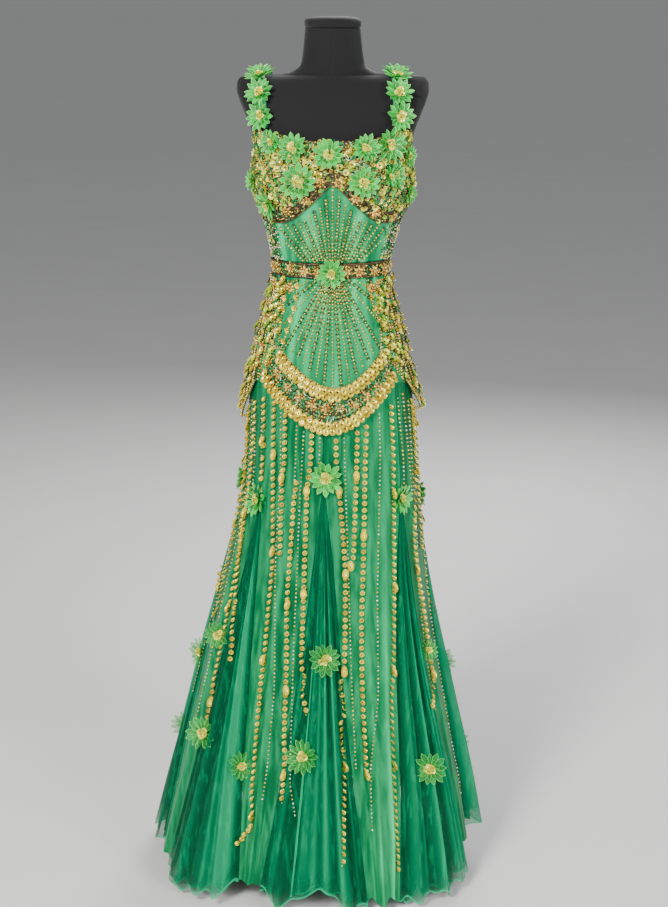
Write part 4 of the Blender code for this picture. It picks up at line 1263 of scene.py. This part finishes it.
def seen_flowers(wanted, lift, facing=0.0):
    """The middle, the way out and the radius of flowers seen at these pixels.

    They are raised off the cloth, and facing turns them from the cloth's own way out to the camera.
    """
    found = []
    for pixel, radius in wanted:
        place = seen_on_cloth([pixel])
        to_camera = np.array(CAMERA_PLACE) - place.points[0]
        out = place.out[0] * (1 - facing) + facing * to_camera / np.linalg.norm(to_camera)
        out = out / np.linalg.norm(out)
        found.append((place.points[0] + out * lift, out, radius))
    return found


bust_flowers = sorted(n for n in nodes if n.startswith(("flower_bust", "flower_cup", "flower_belt")))
godet_flowers = sorted(n for n in nodes if n.startswith("flower_godet"))
flowers("bodice_flowers", [node_place(n, BODICE_FLOWER_LIFT) for n in bust_flowers], petal, bust_flowers)
flowers("godet_flowers", [node_place(n) for n in godet_flowers], petal, godet_flowers)

# %% [markdown]
# ### Shoulder straps
#
# A strap is a narrow band hidden under a chain of flowers. Its line over the shoulder is found by
# casting rays at the dress form, from in front, above and behind, towards a level line inside it.

# %% Straps
form_faces = [face.vertices for face in dress_form.data.polygons]
form_tree = BVHTree.FromPolygons([vert.co for vert in dress_form.data.vertices], form_faces)
Strap = namedtuple("Strap", "name ridge_x front_x back_x")
STRAPS = (Strap("left", -0.135, -0.125, -0.112), Strap("right", 0.114, 0.119, 0.112))
STRAP_WIDTH, STRAP_WALL, STRAP_SEAT = 0.020, 0.0010, 0.0036
STRAP_FRONT_FOOT, STRAP_BACK_FOOT, SHOULDER_CENTRE, OFF_SHOULDER = 1.4570, 1.3900, 1.475, 0.3
STRAP_FLOWER_RADIUS, STRAP_FLOWER_PITCH, STRAP_COLUMNS = 0.0270, 0.0425, 3


def over_shoulder(x, swing):
    """Where a ray meets the form at a swing from straight ahead (0) over the top (90) to the back."""
    way = Vector((0, -math.cos(math.radians(swing)), math.sin(math.radians(swing))))
    start = Vector((x, 0, SHOULDER_CENTRE)) + way * OFF_SHOULDER
    return form_tree.ray_cast(start, -way)[:2]


def strap_places(strap, across, seat):
    """A line of places along a strap, from its front foot to its back foot."""
    points, out = [], []
    for swing in np.arange(-40, 250, 1.5):
        forward = min(1, abs(swing - 90) / 110)
        foot_x = strap.front_x if swing < 90 else strap.back_x
        point, normal = over_shoulder(strap.ridge_x + (foot_x - strap.ridge_x) * forward + across, swing)
        if point is None or point.z < (STRAP_FRONT_FOOT if swing < 90 else STRAP_BACK_FOOT):
            continue
        points.append(point + normal * seat)
        out.append(normal)
    return turned_places(points, out, np.gradient(np.array(points), axis=0))


def make_strap(strap):
    """Makes a strap and returns the places of the flowers along it."""
    across = [STRAP_WIDTH * (k / STRAP_COLUMNS - 0.5) for k in range(STRAP_COLUMNS + 1)]
    even = [along(strap_places(strap, shift, STRAP_SEAT - ON_CLOTH), 0.006, 0.0) for shift in across]
    count = min(len(line.points) for line in even)

    def place(u, v):
        columns, rows = np.round(u * STRAP_COLUMNS).astype(int), np.round(v * (count - 1)).astype(int)
        return np.array([even[c].points[r] for c, r in zip(columns, rows)]), 0.5, 0

    cloth(f"strap_{strap.name}_band", STRAP_COLUMNS, count - 1, place, satin, ["strap_" + strap.name],
          STRAP_WALL, lay=False)
    spaced = along(strap_places(strap, 0, STRAP_SEAT), STRAP_FLOWER_PITCH, 0.45)
    return [(point, out, STRAP_FLOWER_RADIUS) for point, out in zip(spaced.points, spaced.out)]


flowers("strap_flowers", [place for strap in STRAPS for place in make_strap(strap)], petal)

# %% [markdown]
# ## Beadwork of the bodice
#
# The bust piece is net worked all over with beads, small cups and slivers of green film, with
# copper rosettes among them. The beads lie on an uneven grid, as a beader fills a ground.

# %% Filling a ground
UNEVEN = 0.45


def filled(left, right, low, high, spacing):
    """Places on an uneven grid between two angles and two seams."""
    angles, heights = [], []
    middle = (left + right) / 2
    step = float(degrees_for(middle, float(high(middle)), spacing))
    for angle in np.arange(left + step / 2, right, step):
        foot, top = float(low(angle)), float(high(angle))
        for z in np.arange(foot + spacing / 2, top, spacing):
            here = z + chance.uniform(-UNEVEN, UNEVEN) * spacing
            if foot + 0.001 < here < top - 0.001:
                angles.append(angle + chance.uniform(-UNEVEN, UNEVEN) * step)
                heights.append(here)
    return worn_places(angles, heights)


def shared_out(places, *shares):
    """Splits places at random into groups of about these shares."""
    lots, edges = draws(len(places.points)), np.cumsum((0, *shares))
    return [chosen(places, (lots >= low) & (lots < high)) for low, high in zip(edges, edges[1:])]


def spun(places):
    """The same places, each turned at random in the cloth."""
    turns = draws(len(places.points), 0, 6.28)[:, None]
    across = np.cross(places.up, places.out)
    return places._replace(up=places.up * np.cos(turns) + across * np.sin(turns))


def bead_copies(places, size):
    sizes = size * draws(len(places.points), 0.8, 1.2)
    return copies(BEAD, raised(places, size * 0.6), sizes)


def sew_beads(name, material, *runs, slot="gold_paillettes"):
    """Sews a bead on at each place of each run, all of a run about the same size."""
    sewn_on(name, material, *[bead_copies(places, size) for places, size in runs], slot=slot)


def cup_copies(places, size, lean, tone=None):
    return copies(CUP, raised(places, 0.0010), size, tone, lean=lean)


def sew_leaves(name, places, height, size, lean):
    leaves = copies(LEAF, raised(spun(places), height), size, lean=lean)
    sewn_on(name, green_bead, leaves, slot="green_petals")


BEAD_SIZE, LARGER_BEAD, BAND_WIDTH = 0.0016, 0.0019, 0.022
FRONT_ARC, SIDE_ARCS, BACK_ARCS = (-89, 89), ((-89, -50), (50, 89)), ((91, 176), (184, 269))
FINE, COARSE, COARSEST = 0.0054, 0.0090, 0.0105
YELLOW_CUP_PIXELS = (
    (276, 156), (283, 162), (274, 165), (278, 170), (286, 168), (306, 165), (312, 174), (311, 180),
    (315, 168), (318, 176), (372, 160), (379, 166), (346, 173), (344, 180), (375, 206), (417, 166),
    (399, 152), (368, 153), (410, 174), (412, 184), (381, 192), (352, 165), (392, 162), (340, 168),
    (292, 202), (268, 190), (273, 196), (398, 207), (364, 207), (291, 158),
)


def above_band(angle):
    return bust_seam(angle) + BAND_WIDTH


bust_ground = joined(filled(*FRONT_ARC, above_band, neckline, FINE),
                     filled(*FRONT_ARC, bust_seam, above_band, COARSE))
gold, copper, silver, green, cups, lime, leaves = shared_out(
    bust_ground, 0.24, 0.20, 0.04, 0.12, 0.05, 0.04, 0.10)
side_ground = joined(*(filled(*arc, belt_top, bust_seam, FINE) for arc in SIDE_ARCS))
side_silver, side_gold, side_green, side_cups, side_leaves = shared_out(
    side_ground, 0.40, 0.20, 0.22, 0.04, 0.08)
back_ground = joined(*(filled(*arc, belt_top, neckline, COARSEST) for arc in BACK_ARCS))
back_silver, back_gold, back_green = shared_out(back_ground, 0.35, 0.40, 0.25)

sew_beads("bodice_gold_beads", gold_bead, (gold, BEAD_SIZE), (side_gold, BEAD_SIZE), (back_gold, BEAD_SIZE))
sew_beads("bodice_copper_beads", copper_bead, (copper, BEAD_SIZE))
sew_beads("bodice_silver_beads", silver_bead, (silver, BEAD_SIZE), (side_silver, LARGER_BEAD),
          (back_silver, BEAD_SIZE))
sew_beads("bodice_green_beads", green_bead, (green, 0.0020), (side_green, 0.0022), (back_green, BEAD_SIZE),
          slot="beaded_net")
large_cups = raised(spun(seen_on_cloth(YELLOW_CUP_PIXELS)), 0.0020)
sewn_on("bodice_cups", pale_paillette, cup_copies(spun(cups), 0.0042, 0.4),
        cup_copies(spun(side_cups), 0.0034, 0.25), cup_copies(large_cups, 0.0064, 0.5))
sewn_on("bodice_lime_cups", lime_paillette, cup_copies(spun(lime), 0.0044, 0.4))
sew_leaves("bodice_leaves", joined(leaves, side_leaves), 0.001, 0.0060, 0.15)
print("bust ground:", len(bust_ground.points), "places")

# %% [markdown]
# ### Rosettes
#
# A rosette is a star of seven drop beads round a round one, in copper with paler tips.

# %% Copper rosettes
ROSETTE_PIXELS = (
    (284, 150), (320, 183), (339, 183), (306, 201), (287, 211), (356, 199), (376, 213), (393, 217),
    (278, 266), (291, 268), (304, 271), (318, 273), (346, 273), (359, 272), (374, 271), (385, 271),
    (270, 362), (278, 374), (288, 387), (299, 397), (312, 404), (326, 408), (340, 408), (354, 405),
    (367, 397), (378, 386), (387, 374), (394, 361), (290, 287), (372, 288), (268, 318), (397, 322),
    (262, 345), (403, 352),
)
ROSETTE_BEADS, ROSETTE_RADIUS = 7, 0.0108


def rosettes(places, radius):
    """Copies of the drops, the middles and the tips of rosettes."""
    rings = []
    for centre, out, up in zip(*places):
        ring = ring_of(centre + out * ON_CLOTH, out, up, ROSETTE_BEADS, chance.uniform(0, 6), 0.08)
        rings.append(spread_out(ring, radius * 0.58))
    drops = joined(*rings)
    return (copies(BEAD, drops, radius * 0.42, stretch=(0.66, 1, 0.6)),
            copies(BEAD, raised(places, 0.0030), radius * 0.30),
            copies(BEAD, spread_out(drops, radius * 0.50), radius * 0.15))


belt_rosettes = worn_places(np.arange(62, 300, 17), (BELT_TOP + BELT_FOOT) / 2)
drops, middles, tips = rosettes(joined(seen_on_cloth(ROSETTE_PIXELS), belt_rosettes), ROSETTE_RADIUS)
sewn_on("rosettes", copper_bead, drops, middles)
sewn_on("rosette_tips", gold_bead, tips)

# %% Small flowers and a leaf at the sides of the cups
CUP_FLOWERS = (((255, 180), 0.021), ((406, 156), 0.020), ((407, 193), 0.019), ((388, 177), 0.018))
CUP_LEAF_PIXEL = (390, 199)
cup_leaf = raised(seen_on_cloth([CUP_LEAF_PIXEL]), 0.004)
flowers("small_cup_flowers", seen_flowers(CUP_FLOWERS, 0.004), petal)
sewn_on("cup_leaf", petal, copies(LONG_PETAL, cup_leaf, 0.024, 0.9, lean=0.1), slot="green_petals")

# %% Beads of the belt
belt_ground = filled(-179, 179, level(BELT_FOOT + 0.004), level(BELT_TOP - 0.004), 0.0050)
belt_gold, belt_green, belt_copper, belt_leaves = shared_out(belt_ground, 0.20, 0.20, 0.14, 0.14)
sew_beads("belt_beads", gold_bead, (belt_gold, BEAD_SIZE), (belt_copper, BEAD_SIZE))
sew_beads("belt_green_beads", green_bead, (belt_green, 0.0018), slot="beaded_net")
sew_leaves("belt_leaves", belt_leaves, 0.001, 0.0048, 0.1)
print("belt ground:", len(belt_ground.points), "places")

# %% [markdown]
# ### Bound edges
#
# Narrow brown cords finish the neckline, the seam under the bust and both edges of the belt. A
# cord is a thin tube: a grid rolled up along a line, with its long edges merged.

# %% Brown cords
CORD_SIDES = 7


def bound_edge(name, angles, heights, radius):
    line = worn_places(angles, heights)
    side = np.cross(line.out, np.gradient(line.points, axis=0))
    side /= np.linalg.norm(side, axis=1, keepdims=True)
    last = len(angles) - 1
    bm, u, v = grid(CORD_SIDES, last)
    row, turn = np.round(v * last).astype(int), u[:, None] * 2 * math.pi
    swing = line.out[row] * np.cos(turn) + side[row] * np.sin(turn)
    move(bm, line.points[row] + line.out[row] * radius * 0.6 + swing * radius)
    bmesh.ops.remove_doubles(bm, verts=bm.verts, dist=0.00002)
    bmesh.ops.holes_fill(bm, edges=bm.edges, sides=CORD_SIDES)
    bmesh.ops.recalc_face_normals(bm, faces=bm.faces)
    add_piece(name, mesh_from(bm), brown_trim)


front, back = np.linspace(*FRONT_ARC, 180), np.linspace(91, 269, 180)
waist = np.linspace(-179.5, 179.5, 300)
for name, angles, heights, radius in (
    ("bust_seam_cord", front, bust_seam(front) + 0.0005, 0.0017),
    ("bust_band_cord", front, above_band(front), 0.0015),
    ("neckline_cord", front, neckline(front) - 0.0016, 0.0013),
    ("back_neckline_cord", back, neckline(back) - 0.0016, 0.0012),
    ("belt_top_cord", waist, BELT_TOP - 0.0018, 0.0015),
    ("belt_foot_cord", waist, BELT_FOOT + 0.0018, 0.0015),
):
    bound_edge(name, angles, heights, radius)

# %% [markdown]
# ### Sunbursts
#
# Bead lines fan up over the midriff and down over the yoke from the flower on the belt. Beads and
# tiny cups take turns, so every second line sparkles more.

# %% Lines that fan out from the belt flower
FAN_CENTRE_UP, FAN_CENTRE_DOWN = (332.5, 292), (332.5, 266)
FAN_REACH, FAN_STEP, FEWEST_PLACES = 130, 1.5, 4


def fan(centre, swings, first, keep):
    """Lines of places seen from the front, each kept only where keep(around, z) holds."""
    lines = []
    for swing in np.radians(swings):
        reach = np.arange(first, FAN_REACH, FAN_STEP)
        line = seen_on_cloth(zip(centre[0] + np.sin(swing) * reach, centre[1] - np.cos(swing) * reach))
        around = np.degrees(np.arctan2(line.points[:, 0], -line.points[:, 1]))
        line = chosen(line, keep(around, line.points[:, 2]))
        if len(line.points) >= FEWEST_PLACES:
            lines.append(line)
    return lines


def on_midriff(around, z):
    return (z > BELT_TOP + 0.002) & (z < bust_seam(around) - 0.002) & (np.abs(around) < 52)


def on_yoke(around, z):
    share = np.clip((around - CRESCENT_HIGH[0]) / CRESCENT_HIGH[1], -1, 1)
    crescent_top = crescent_edge(share, *CRESCENT_HIGH)[1]
    return (z < BELT_FOOT - 0.002) & (z > crescent_top + 0.004) & (np.abs(around) < 46)


down_swings = np.concatenate([np.linspace(112, 150, 5), np.linspace(155, 205, 13), np.linspace(210, 248, 5)])
up_lines = fan(FAN_CENTRE_UP, np.linspace(-43, 43, 21), 30, on_midriff)
down_lines = fan(FAN_CENTRE_DOWN, down_swings, 16, on_yoke)
plain, cupped = [], []
for number, line in enumerate(up_lines + down_lines):
    plain.append(along(line, 0.0062, chance.random()))
    if number % 2:
        cupped.append(along(line, 0.0093, 0.25))
sew_beads("sunburst_beads", gold_bead, (joined(*plain), 0.0020))
sewn_on("sunburst_cups", green_bead, cup_copies(joined(*cupped), 0.0036, 0.4, 0.12), slot="beaded_net")
print("sunburst lines:", len(up_lines), "up and", len(down_lines), "down")

# %% [markdown]
# ## The crescent
#
# Two overlapping rows of gold paillettes run along each edge, like roof tiles, each hanging from
# its upper rim. Between them lie slivers of green film and copper beads round the rosettes.

# %% Rows of paillettes
PAILLETTE_SIZE, TILE_STRETCH, TILES_SWING = 0.0071, (0.92, 1.08, 1), 0.20


def crescent_row(up_share, pitch, start=0.5):
    spaced = along(worn_places(*crescent_place(np.linspace(0.01, 0.99, 160), up_share)), pitch, start)
    return turned_places(spaced.points, spaced.out)


rows = ((crescent_row(0.97, 0.0118, 0.2), 0.0046, -0.50), (crescent_row(0.84, 0.0120, 0.7), 0.0040, -0.42),
        (crescent_row(0.19, 0.0120, 0.3), 0.0046, -0.50), (crescent_row(0.05, 0.0118, 0.8), 0.0040, -0.42))
tiles = []
for row, lift, lean in rows:
    # Each tile leans a little differently, so that no two catch the light alike
    leans = lean + draws(len(row.points), -TILES_SWING, TILES_SWING)
    tiles.append(copies(PAILLETTE, raised(row, lift), PAILLETTE_SIZE, None, TILE_STRETCH, leans))
sewn_on("crescent_paillettes", gold_paillette, *tiles)
edge_beads = joined(crescent_row(1.02, 0.0040), crescent_row(1.06, 0.0046, 0.2),
                    crescent_row(0.90, 0.0100, 0.2), crescent_row(0.11, 0.0104, 0.3))
sew_beads("crescent_copper_beads", copper_bead, (edge_beads, LARGER_BEAD))
band = [crescent_row(share, 0.0052, chance.random()) for share in (0.30, 0.38, 0.46, 0.54, 0.62, 0.70, 0.77)]
band_leaves, band_green, band_gold, band_copper = shared_out(joined(*band), 0.40, 0.20, 0.22, 0.18)
sew_leaves("crescent_leaves", band_leaves, 0.0016, 0.0056, 0.3)
sew_beads("crescent_green_beads", green_bead, (band_green, 0.0022), slot="beaded_net")
sew_beads("crescent_gold_beads", gold_bead, (joined(band_gold, band_copper), LARGER_BEAD))
print("crescent paillettes:", sum(len(row.points) for row, _, _ in rows))

# %% [markdown]
# ## Drapes over the hips
#
# Strings of beads hang in curves from the belt to the drape's point. Cupped sequins, yellow-green
# paillettes and film leaves are sewn between them, and satin shows through the gaps.

# %% Strings and sequins of the drapes
STRINGS_ON_DRAPE, STRINGS_BESIDE_YOKE = 16, 10
FILL_ON_DRAPE, FILL_BESIDE_YOKE = 560, 260
DRAPE_BEAD, DRAPE_CUP, DRAPE_CUP_LIFT = 0.0021, 0.0066, 0.0030
# Between the sunburst and the drape: angles at the belt and at the foot, heights of the foot
BESIDE_TOP, BESIDE_FOOT, BESIDE_HEIGHT = (49, 63), (39, 62), (1.052, 0.990)


def beside_yoke(side, across, down):
    """A place on the yoke between its sunburst (across 0) and the drape (across 1), below the belt."""
    edges = BESIDE_TOP, BESIDE_FOOT, BESIDE_HEIGHT
    top, foot, height = (near + (far - near) * across for near, far in edges)
    return side * (top + (foot - top) * down), BELT_FOOT - 0.003 - (BELT_FOOT - height) * down


def scattered(count, least, most):
    """Shares across and up, at random."""
    return np.array([(chance.uniform(least, most), chance.uniform(0.02, 0.98)) for _ in range(count)]).T


def drape_cups(name, material, places):
    sewn_on(name, material, cup_copies(raised(places, DRAPE_CUP_LIFT), DRAPE_CUP, -0.45))


strings, fill, up_share = [], [], np.linspace(0.01, 0.99, 60)
bulge = np.sin(math.pi * up_share)
for drape in DRAPES:
    side = -1 if drape.side == "left" else 1
    for k in range(STRINGS_ON_DRAPE):
        across = 0.04 + 0.92 * k / (STRINGS_ON_DRAPE - 1) + 0.05 * (-1) ** k * bulge
        strings.append(along(worn_places(*drape_place(drape, np.clip(across, 0.02, 0.98), up_share)), 0.0052))
    strings.append(along(worn_places(*drape_place(drape, np.linspace(0, 1, 50), 0.012)), 0.0050))
    for k in range(STRINGS_BESIDE_YOKE):
        across = k / (STRINGS_BESIDE_YOKE - 1) + 0.07 * (-1) ** k * bulge
        strings.append(along(worn_places(*beside_yoke(side, np.clip(across, 0, 1), up_share)), 0.0056))
    fill.append(worn_places(*drape_place(drape, *scattered(FILL_ON_DRAPE, 0.03, 0.97))))
    fill.append(worn_places(*beside_yoke(side, *scattered(FILL_BESIDE_YOKE, 0.0, 1.0))))
string_gold, string_silver, string_copper = shared_out(joined(*strings), 0.42, 0.20, 0.38)
fill_cups, fill_lime, fill_leaves, fill_beads, fill_copper = shared_out(
    joined(*fill), 0.06, 0.025, 0.15, 0.24, 0.30)
sew_beads("drape_gold_beads", gold_bead, (string_gold, DRAPE_BEAD), (fill_beads, LARGER_BEAD))
sew_beads("drape_silver_beads", silver_bead, (string_silver, DRAPE_BEAD))
sew_beads("drape_copper_beads", copper_bead, (joined(fill_copper, string_copper), DRAPE_BEAD))
drape_cups("drape_cups", pale_paillette, fill_cups)
drape_cups("drape_lime_cups", lime_paillette, fill_lime)
sew_leaves("drape_leaves", fill_leaves, 0.0014, 0.0090, 0.25)
print("drape strings:", len(strings))

# %% Beads that hang from the points of the drapes
TIP_STRINGS = ((-4.0, 0.016), (-1.4, 0.030), (1.2, 0.022), (3.6, 0.012))
TIP_CUP_SHARES = ((0.40, 0.50, 0.60, 0.46, 0.54), (0.05, 0.02, 0.05, 0.09, 0.10))

hanging, tip_cups = [], []
for drape in DRAPES:
    for shift, length in TIP_STRINGS:
        z = np.linspace(drape.tip_z + 0.006, drape.tip_z - length, 24)
        hanging.append(along(raised(worn_places(drape.tip + shift, z), 0.0025), 0.0046))
    tip_cups.append(worn_places(*drape_place(drape, *np.array(TIP_CUP_SHARES))))
sew_beads("tip_beads", gold_bead, (joined(*hanging), DRAPE_BEAD))
drape_cups("tip_cups", pale_paillette, joined(*tip_cups))

# %% Trails of beads beside the yoke's sunburst
TRAIL_PIXELS = (
    ((287, 283), (284, 310), (276, 335), (270, 352)), ((298, 282), (296, 304), (288, 330), (281, 350)),
    ((367, 283), (374, 310), (384, 334), (390, 350)), ((378, 284), (386, 310), (396, 338), (400, 356)),
    ((276, 284), (268, 310), (262, 340), (258, 362)), ((389, 284), (398, 312), (405, 342), (409, 366)),
)


def seen_line(pixels):
    """A smooth run of places under a line drawn through pixels."""
    pixels = np.array(pixels, float)
    travelled = np.concatenate([[0], np.cumsum(np.linalg.norm(np.diff(pixels, axis=0), axis=1))])
    wanted = np.arange(0, travelled[-1], 2.0)
    return seen_on_cloth(zip(*(np.interp(wanted, travelled, column) for column in pixels.T)))


trails = [seen_line(trail) for trail in TRAIL_PIXELS]
trail_beads = joined(*(along(trail, 0.0046) for trail in trails))
trail_cups = joined(*(along(trail, 0.021, 0.3) for trail in trails))
sew_beads("yoke_trail_beads", gold_bead, (trail_beads, LARGER_BEAD))
sewn_on("yoke_trail_cups", pale_paillette, cup_copies(trail_cups, 0.0058, 0.45))

# %% [markdown]
# ## Strands down the skirt
#
# Strings of cupped sequins fall from the yoke, a bead in each cup, with a long paillette here and
# there. Between them run plain strings of small beads. The front strands follow the photograph;
# those at the sides and back repeat their rhythm at angles round the skirt.

# %% Strands of the front
CUP_STRANDS = (
    ((251, 404), (247, 460), (240, 560), (230, 663)),
    ((265, 396), (265, 441), (262, 485)),
    ((275, 400), (274, 460), (274, 560), (265, 661), (260, 692), (256, 758), (253, 792), (254, 816),
     (252, 827), (238, 844)),
    ((286, 412), (285, 460), (283, 478), (280, 560)),
    ((297, 480), (294, 505), (289, 580), (285, 690), (285, 776), (282, 804)),
    ((312, 433), (311, 460), (307, 491), (304, 594), (302, 650), (304, 694), (306, 718)),
    ((336, 438), (336, 460), (339, 491), (342, 522), (346, 574), (344, 672), (342, 680), (343, 767),
     (342, 868)),
    ((357, 430), (356, 480), (353, 556), (350, 572)),
    ((366, 424), (365, 460), (364, 536), (363, 583), (362, 616), (362, 700), (365, 776)),
    ((390, 404), (392, 460), (392, 493), (393, 587), (392, 674), (390, 699), (392, 766), (397, 872)),
    ((411, 402), (414, 460), (413, 543), (416, 569), (421, 598), (430, 661), (432, 674), (432, 709)),
    ((414, 404), (419, 460), (426, 549)),
)
BEAD_STRANDS = (
    ((256, 404), (255, 460), (252, 500)),
    ((262, 404), (262, 500)),
    ((281, 400), (281, 470), (276, 560), (274, 691), (267, 769), (262, 800)),
    ((297, 424), (294, 505), (291, 560)),
    ((304, 430), (300, 500), (294, 640), (290, 780), (295, 818)),
    ((320, 436), (319, 470)),
    ((344, 436), (346, 500), (348, 560), (352, 690), (356, 770)),
    ((379, 412), (380, 460), (377, 594), (378, 694), (371, 769), (372, 832)),
    ((397, 396), (403, 460), (404, 500)),
    ((402, 392), (408, 450), (412, 500)),
)
LONG_PAILLETTES = (
    (264, 441), (275, 455), (283, 478), (307, 491), (339, 491), (356, 476), (392, 494), (304, 594),
    (346, 574), (393, 587), (344, 672), (285, 690), (343, 767), (392, 766), (285, 776), (254, 816),
    (364, 536), (415, 569), (432, 674), (365, 776), (417, 462), (264, 660), (274, 552), (350, 566),
    (392, 672), (289, 605),
)
CUP_PITCH, BEAD_PITCH, LONG_PITCH = 0.0130, 0.0078, 0.19
CUP_SIZE, CUP_BEAD, STRAND_BEAD = 0.0048, 0.0015, 0.0020

cups, small_beads = [], []
for line in map(seen_line, CUP_STRANDS):
    cups.append(along(line, CUP_PITCH))
    small_beads.append(along(line, CUP_PITCH, 0.12))
string_beads = [along(seen_line(pixels), BEAD_PITCH) for pixels in BEAD_STRANDS]

# %% Strands of the sides and back
STRANDS_AT = np.arange(66, 298, 6.6)
FEET = (0.34, 0.62, 0.20, 0.50, 0.28)
BELOW_YOKE, BELOW_DRAPE, STRAND_SWAY = 0.006, 0.030, 0.8
long_places = [seen_on_cloth(LONG_PAILLETTES)]
for number, angle in enumerate(STRANDS_AT):
    foot = FEET[number % len(FEET)] + 0.05 * math.sin(number * 2.3)
    top = float(yoke_foot(angle)) - BELOW_YOKE
    if any(drape.left % 360 < angle < drape.right % 360 for drape in DRAPES):
        top -= BELOW_DRAPE
    z = np.linspace(top, foot, 90)
    line = worn_places(angle + STRAND_SWAY * np.sin(z * 9 + number), z)
    if number % 2:
        cups.append(along(line, CUP_PITCH))
        small_beads.append(along(line, CUP_PITCH, 0.12))
        long_places.append(along(line, LONG_PITCH, 0.35 + 0.4 * (number % 3)))
    else:
        string_beads.append(along(line, BEAD_PITCH))

cups, small_beads, string_beads, long_places = (
    joined(*runs) for runs in (cups, small_beads, string_beads, long_places))
sewn_on("strand_cups", gold_paillette, copies(STRUNG_CUP, raised(cups, 0.0022), CUP_SIZE, lean=-0.6))
sewn_on("strand_cup_beads", gold_bead, copies(BEAD, raised(cups, 0.0024), CUP_BEAD, 0.5),
        bead_copies(small_beads, CUP_BEAD))
bead_gold, bead_silver = shared_out(string_beads, 0.55, 0.45)
sew_beads("strand_gold_beads", gold_bead, (bead_gold, STRAND_BEAD))
sew_beads("strand_silver_beads", silver_bead, (bead_silver, STRAND_BEAD))
sewn_on("strand_long_paillettes", gold_paillette,
        copies(PAILLETTE, raised(long_places, 0.0040), 0.0076, 0.75, (0.82, 1.28, 1), -0.30),
        copies(PAILLETTE, raised(long_places, 0.0062), 0.0050, 1.0, (0.82, 1.15, 1), -0.35))
print("strand cups:", len(cups.points), "beads:", len(string_beads.points) + len(small_beads.points))

# %% [markdown]
# ## Flowers on the net
#
# Larger, sheerer flowers lie low on the skirt: some where the photograph shows them, and others
# at angles and heights of their own at the sides and back.

# %% Flowers low on the skirt
NET_FLOWERS = (((205, 733), 0.032), ((306, 757), 0.034), ((431, 768), 0.031), ((323, 659), 0.031),
               ((239, 765), 0.028), ((219, 634), 0.026), ((425, 650), 0.022))
BACK_FLOWERS_AT = ((97, 0.40), (100, 0.22), (150, 0.44), (155, 0.26), (206, 0.40), (210, 0.24),
                   (262, 0.42), (258, 0.25))
BACK_FLOWER_RADIUS, BACK_FLOWER_LIFT, NET_FLOWER_LIFT, NET_FLOWER_FACING = 0.030, 0.002, 0.007, 0.45

behind = raised(worn_places(*np.array(BACK_FLOWERS_AT).T), BACK_FLOWER_LIFT)
net_flowers = seen_flowers(NET_FLOWERS, NET_FLOWER_LIFT, NET_FLOWER_FACING)
net_flowers += [(point, out, BACK_FLOWER_RADIUS) for point, out in zip(behind.points, behind.out)]
flowers("net_flowers", net_flowers, sheer_petal, flat=4)
shown = [piece.data for piece in bpy.context.scene.objects if piece.type == "MESH" and not piece.hide_render]
total = sum(len(face.vertices) - 2 for mesh in shown for face in mesh.polygons)
print("triangles in all, about:", total)

# %% [markdown]
# ## Floor and light
#
# A pale floor and soft studio light: one broad lamp in front on the left, a weaker one on the
# right, and one behind that shines through the net.

# %% Floor, lamps and the last checks
FLOOR_RADIUS, FLOOR_SIDES, FLOOR_BELOW = 500.0, 96, 0.0008
WORLD_COLOUR, WORLD_STRENGTH, LAMPS_AIM_AT = (0.92, 0.93, 0.95, 1.0), 0.28, Vector((0, 0, 0.8))


def make_floor():
    bm = bmesh.new()
    bmesh.ops.create_circle(bm, cap_ends=True, radius=FLOOR_RADIUS, segments=FLOOR_SIDES)
    bmesh.ops.translate(bm, verts=bm.verts, vec=(0, 0, -FLOOR_BELOW))
    mesh = mesh_from(bm)
    floor = bpy.data.objects.new("studio_floor", mesh)
    finish = Finish("pale_paper", Roughness=0.85)
    grain = finish.noise(3.0)
    finish.set("Base Color", finish.mix(grain, (0.80, 0.80, 0.79), (0.85, 0.85, 0.84)))
    mesh.materials.append(finish.material)
    bpy.context.scene.collection.objects.link(floor)
    floor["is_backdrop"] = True


Lamp = namedtuple("Lamp", "name place width power colour")
LAMPS = (
    Lamp("front_left", (-1.7, -3.4, 3.2), 1.2, 255, (1.0, 0.98, 0.95)),
    Lamp("front_right", (2.4, -3.0, 2.0), 1.6, 90, (0.97, 0.99, 1.0)),
    Lamp("behind", (0.8, 2.8, 2.6), 2.0, 90, (1.0, 1.0, 1.0)),
)


def make_lamp(lamp):
    data = bpy.data.lights.new(lamp.name, "AREA")
    data.shape, data.size, data.energy, data.color = "DISK", lamp.width, lamp.power, lamp.colour
    made = bpy.data.objects.new(lamp.name, data)
    made.location = lamp.place
    made.rotation_euler = (LAMPS_AIM_AT - Vector(lamp.place)).to_track_quat("-Z", "Y").to_euler()
    bpy.context.scene.collection.objects.link(made)


make_floor()
for lamp in LAMPS:
    make_lamp(lamp)
world = bpy.data.worlds.new("studio")
world.use_nodes = True
background = world.node_tree.nodes["Background"].inputs
background["Color"].default_value = WORLD_COLOUR
background["Strength"].default_value = WORLD_STRENGTH
bpy.context.scene.world = world

visual_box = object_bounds()
old, new = [[*box[0], *box[1]] for box in (cad_box, visual_box)]
growth = [round(1000 * (after - before), 1) for before, after in zip(old, new)]
print("the dressed model against the solids, in mm at each side:", growth)
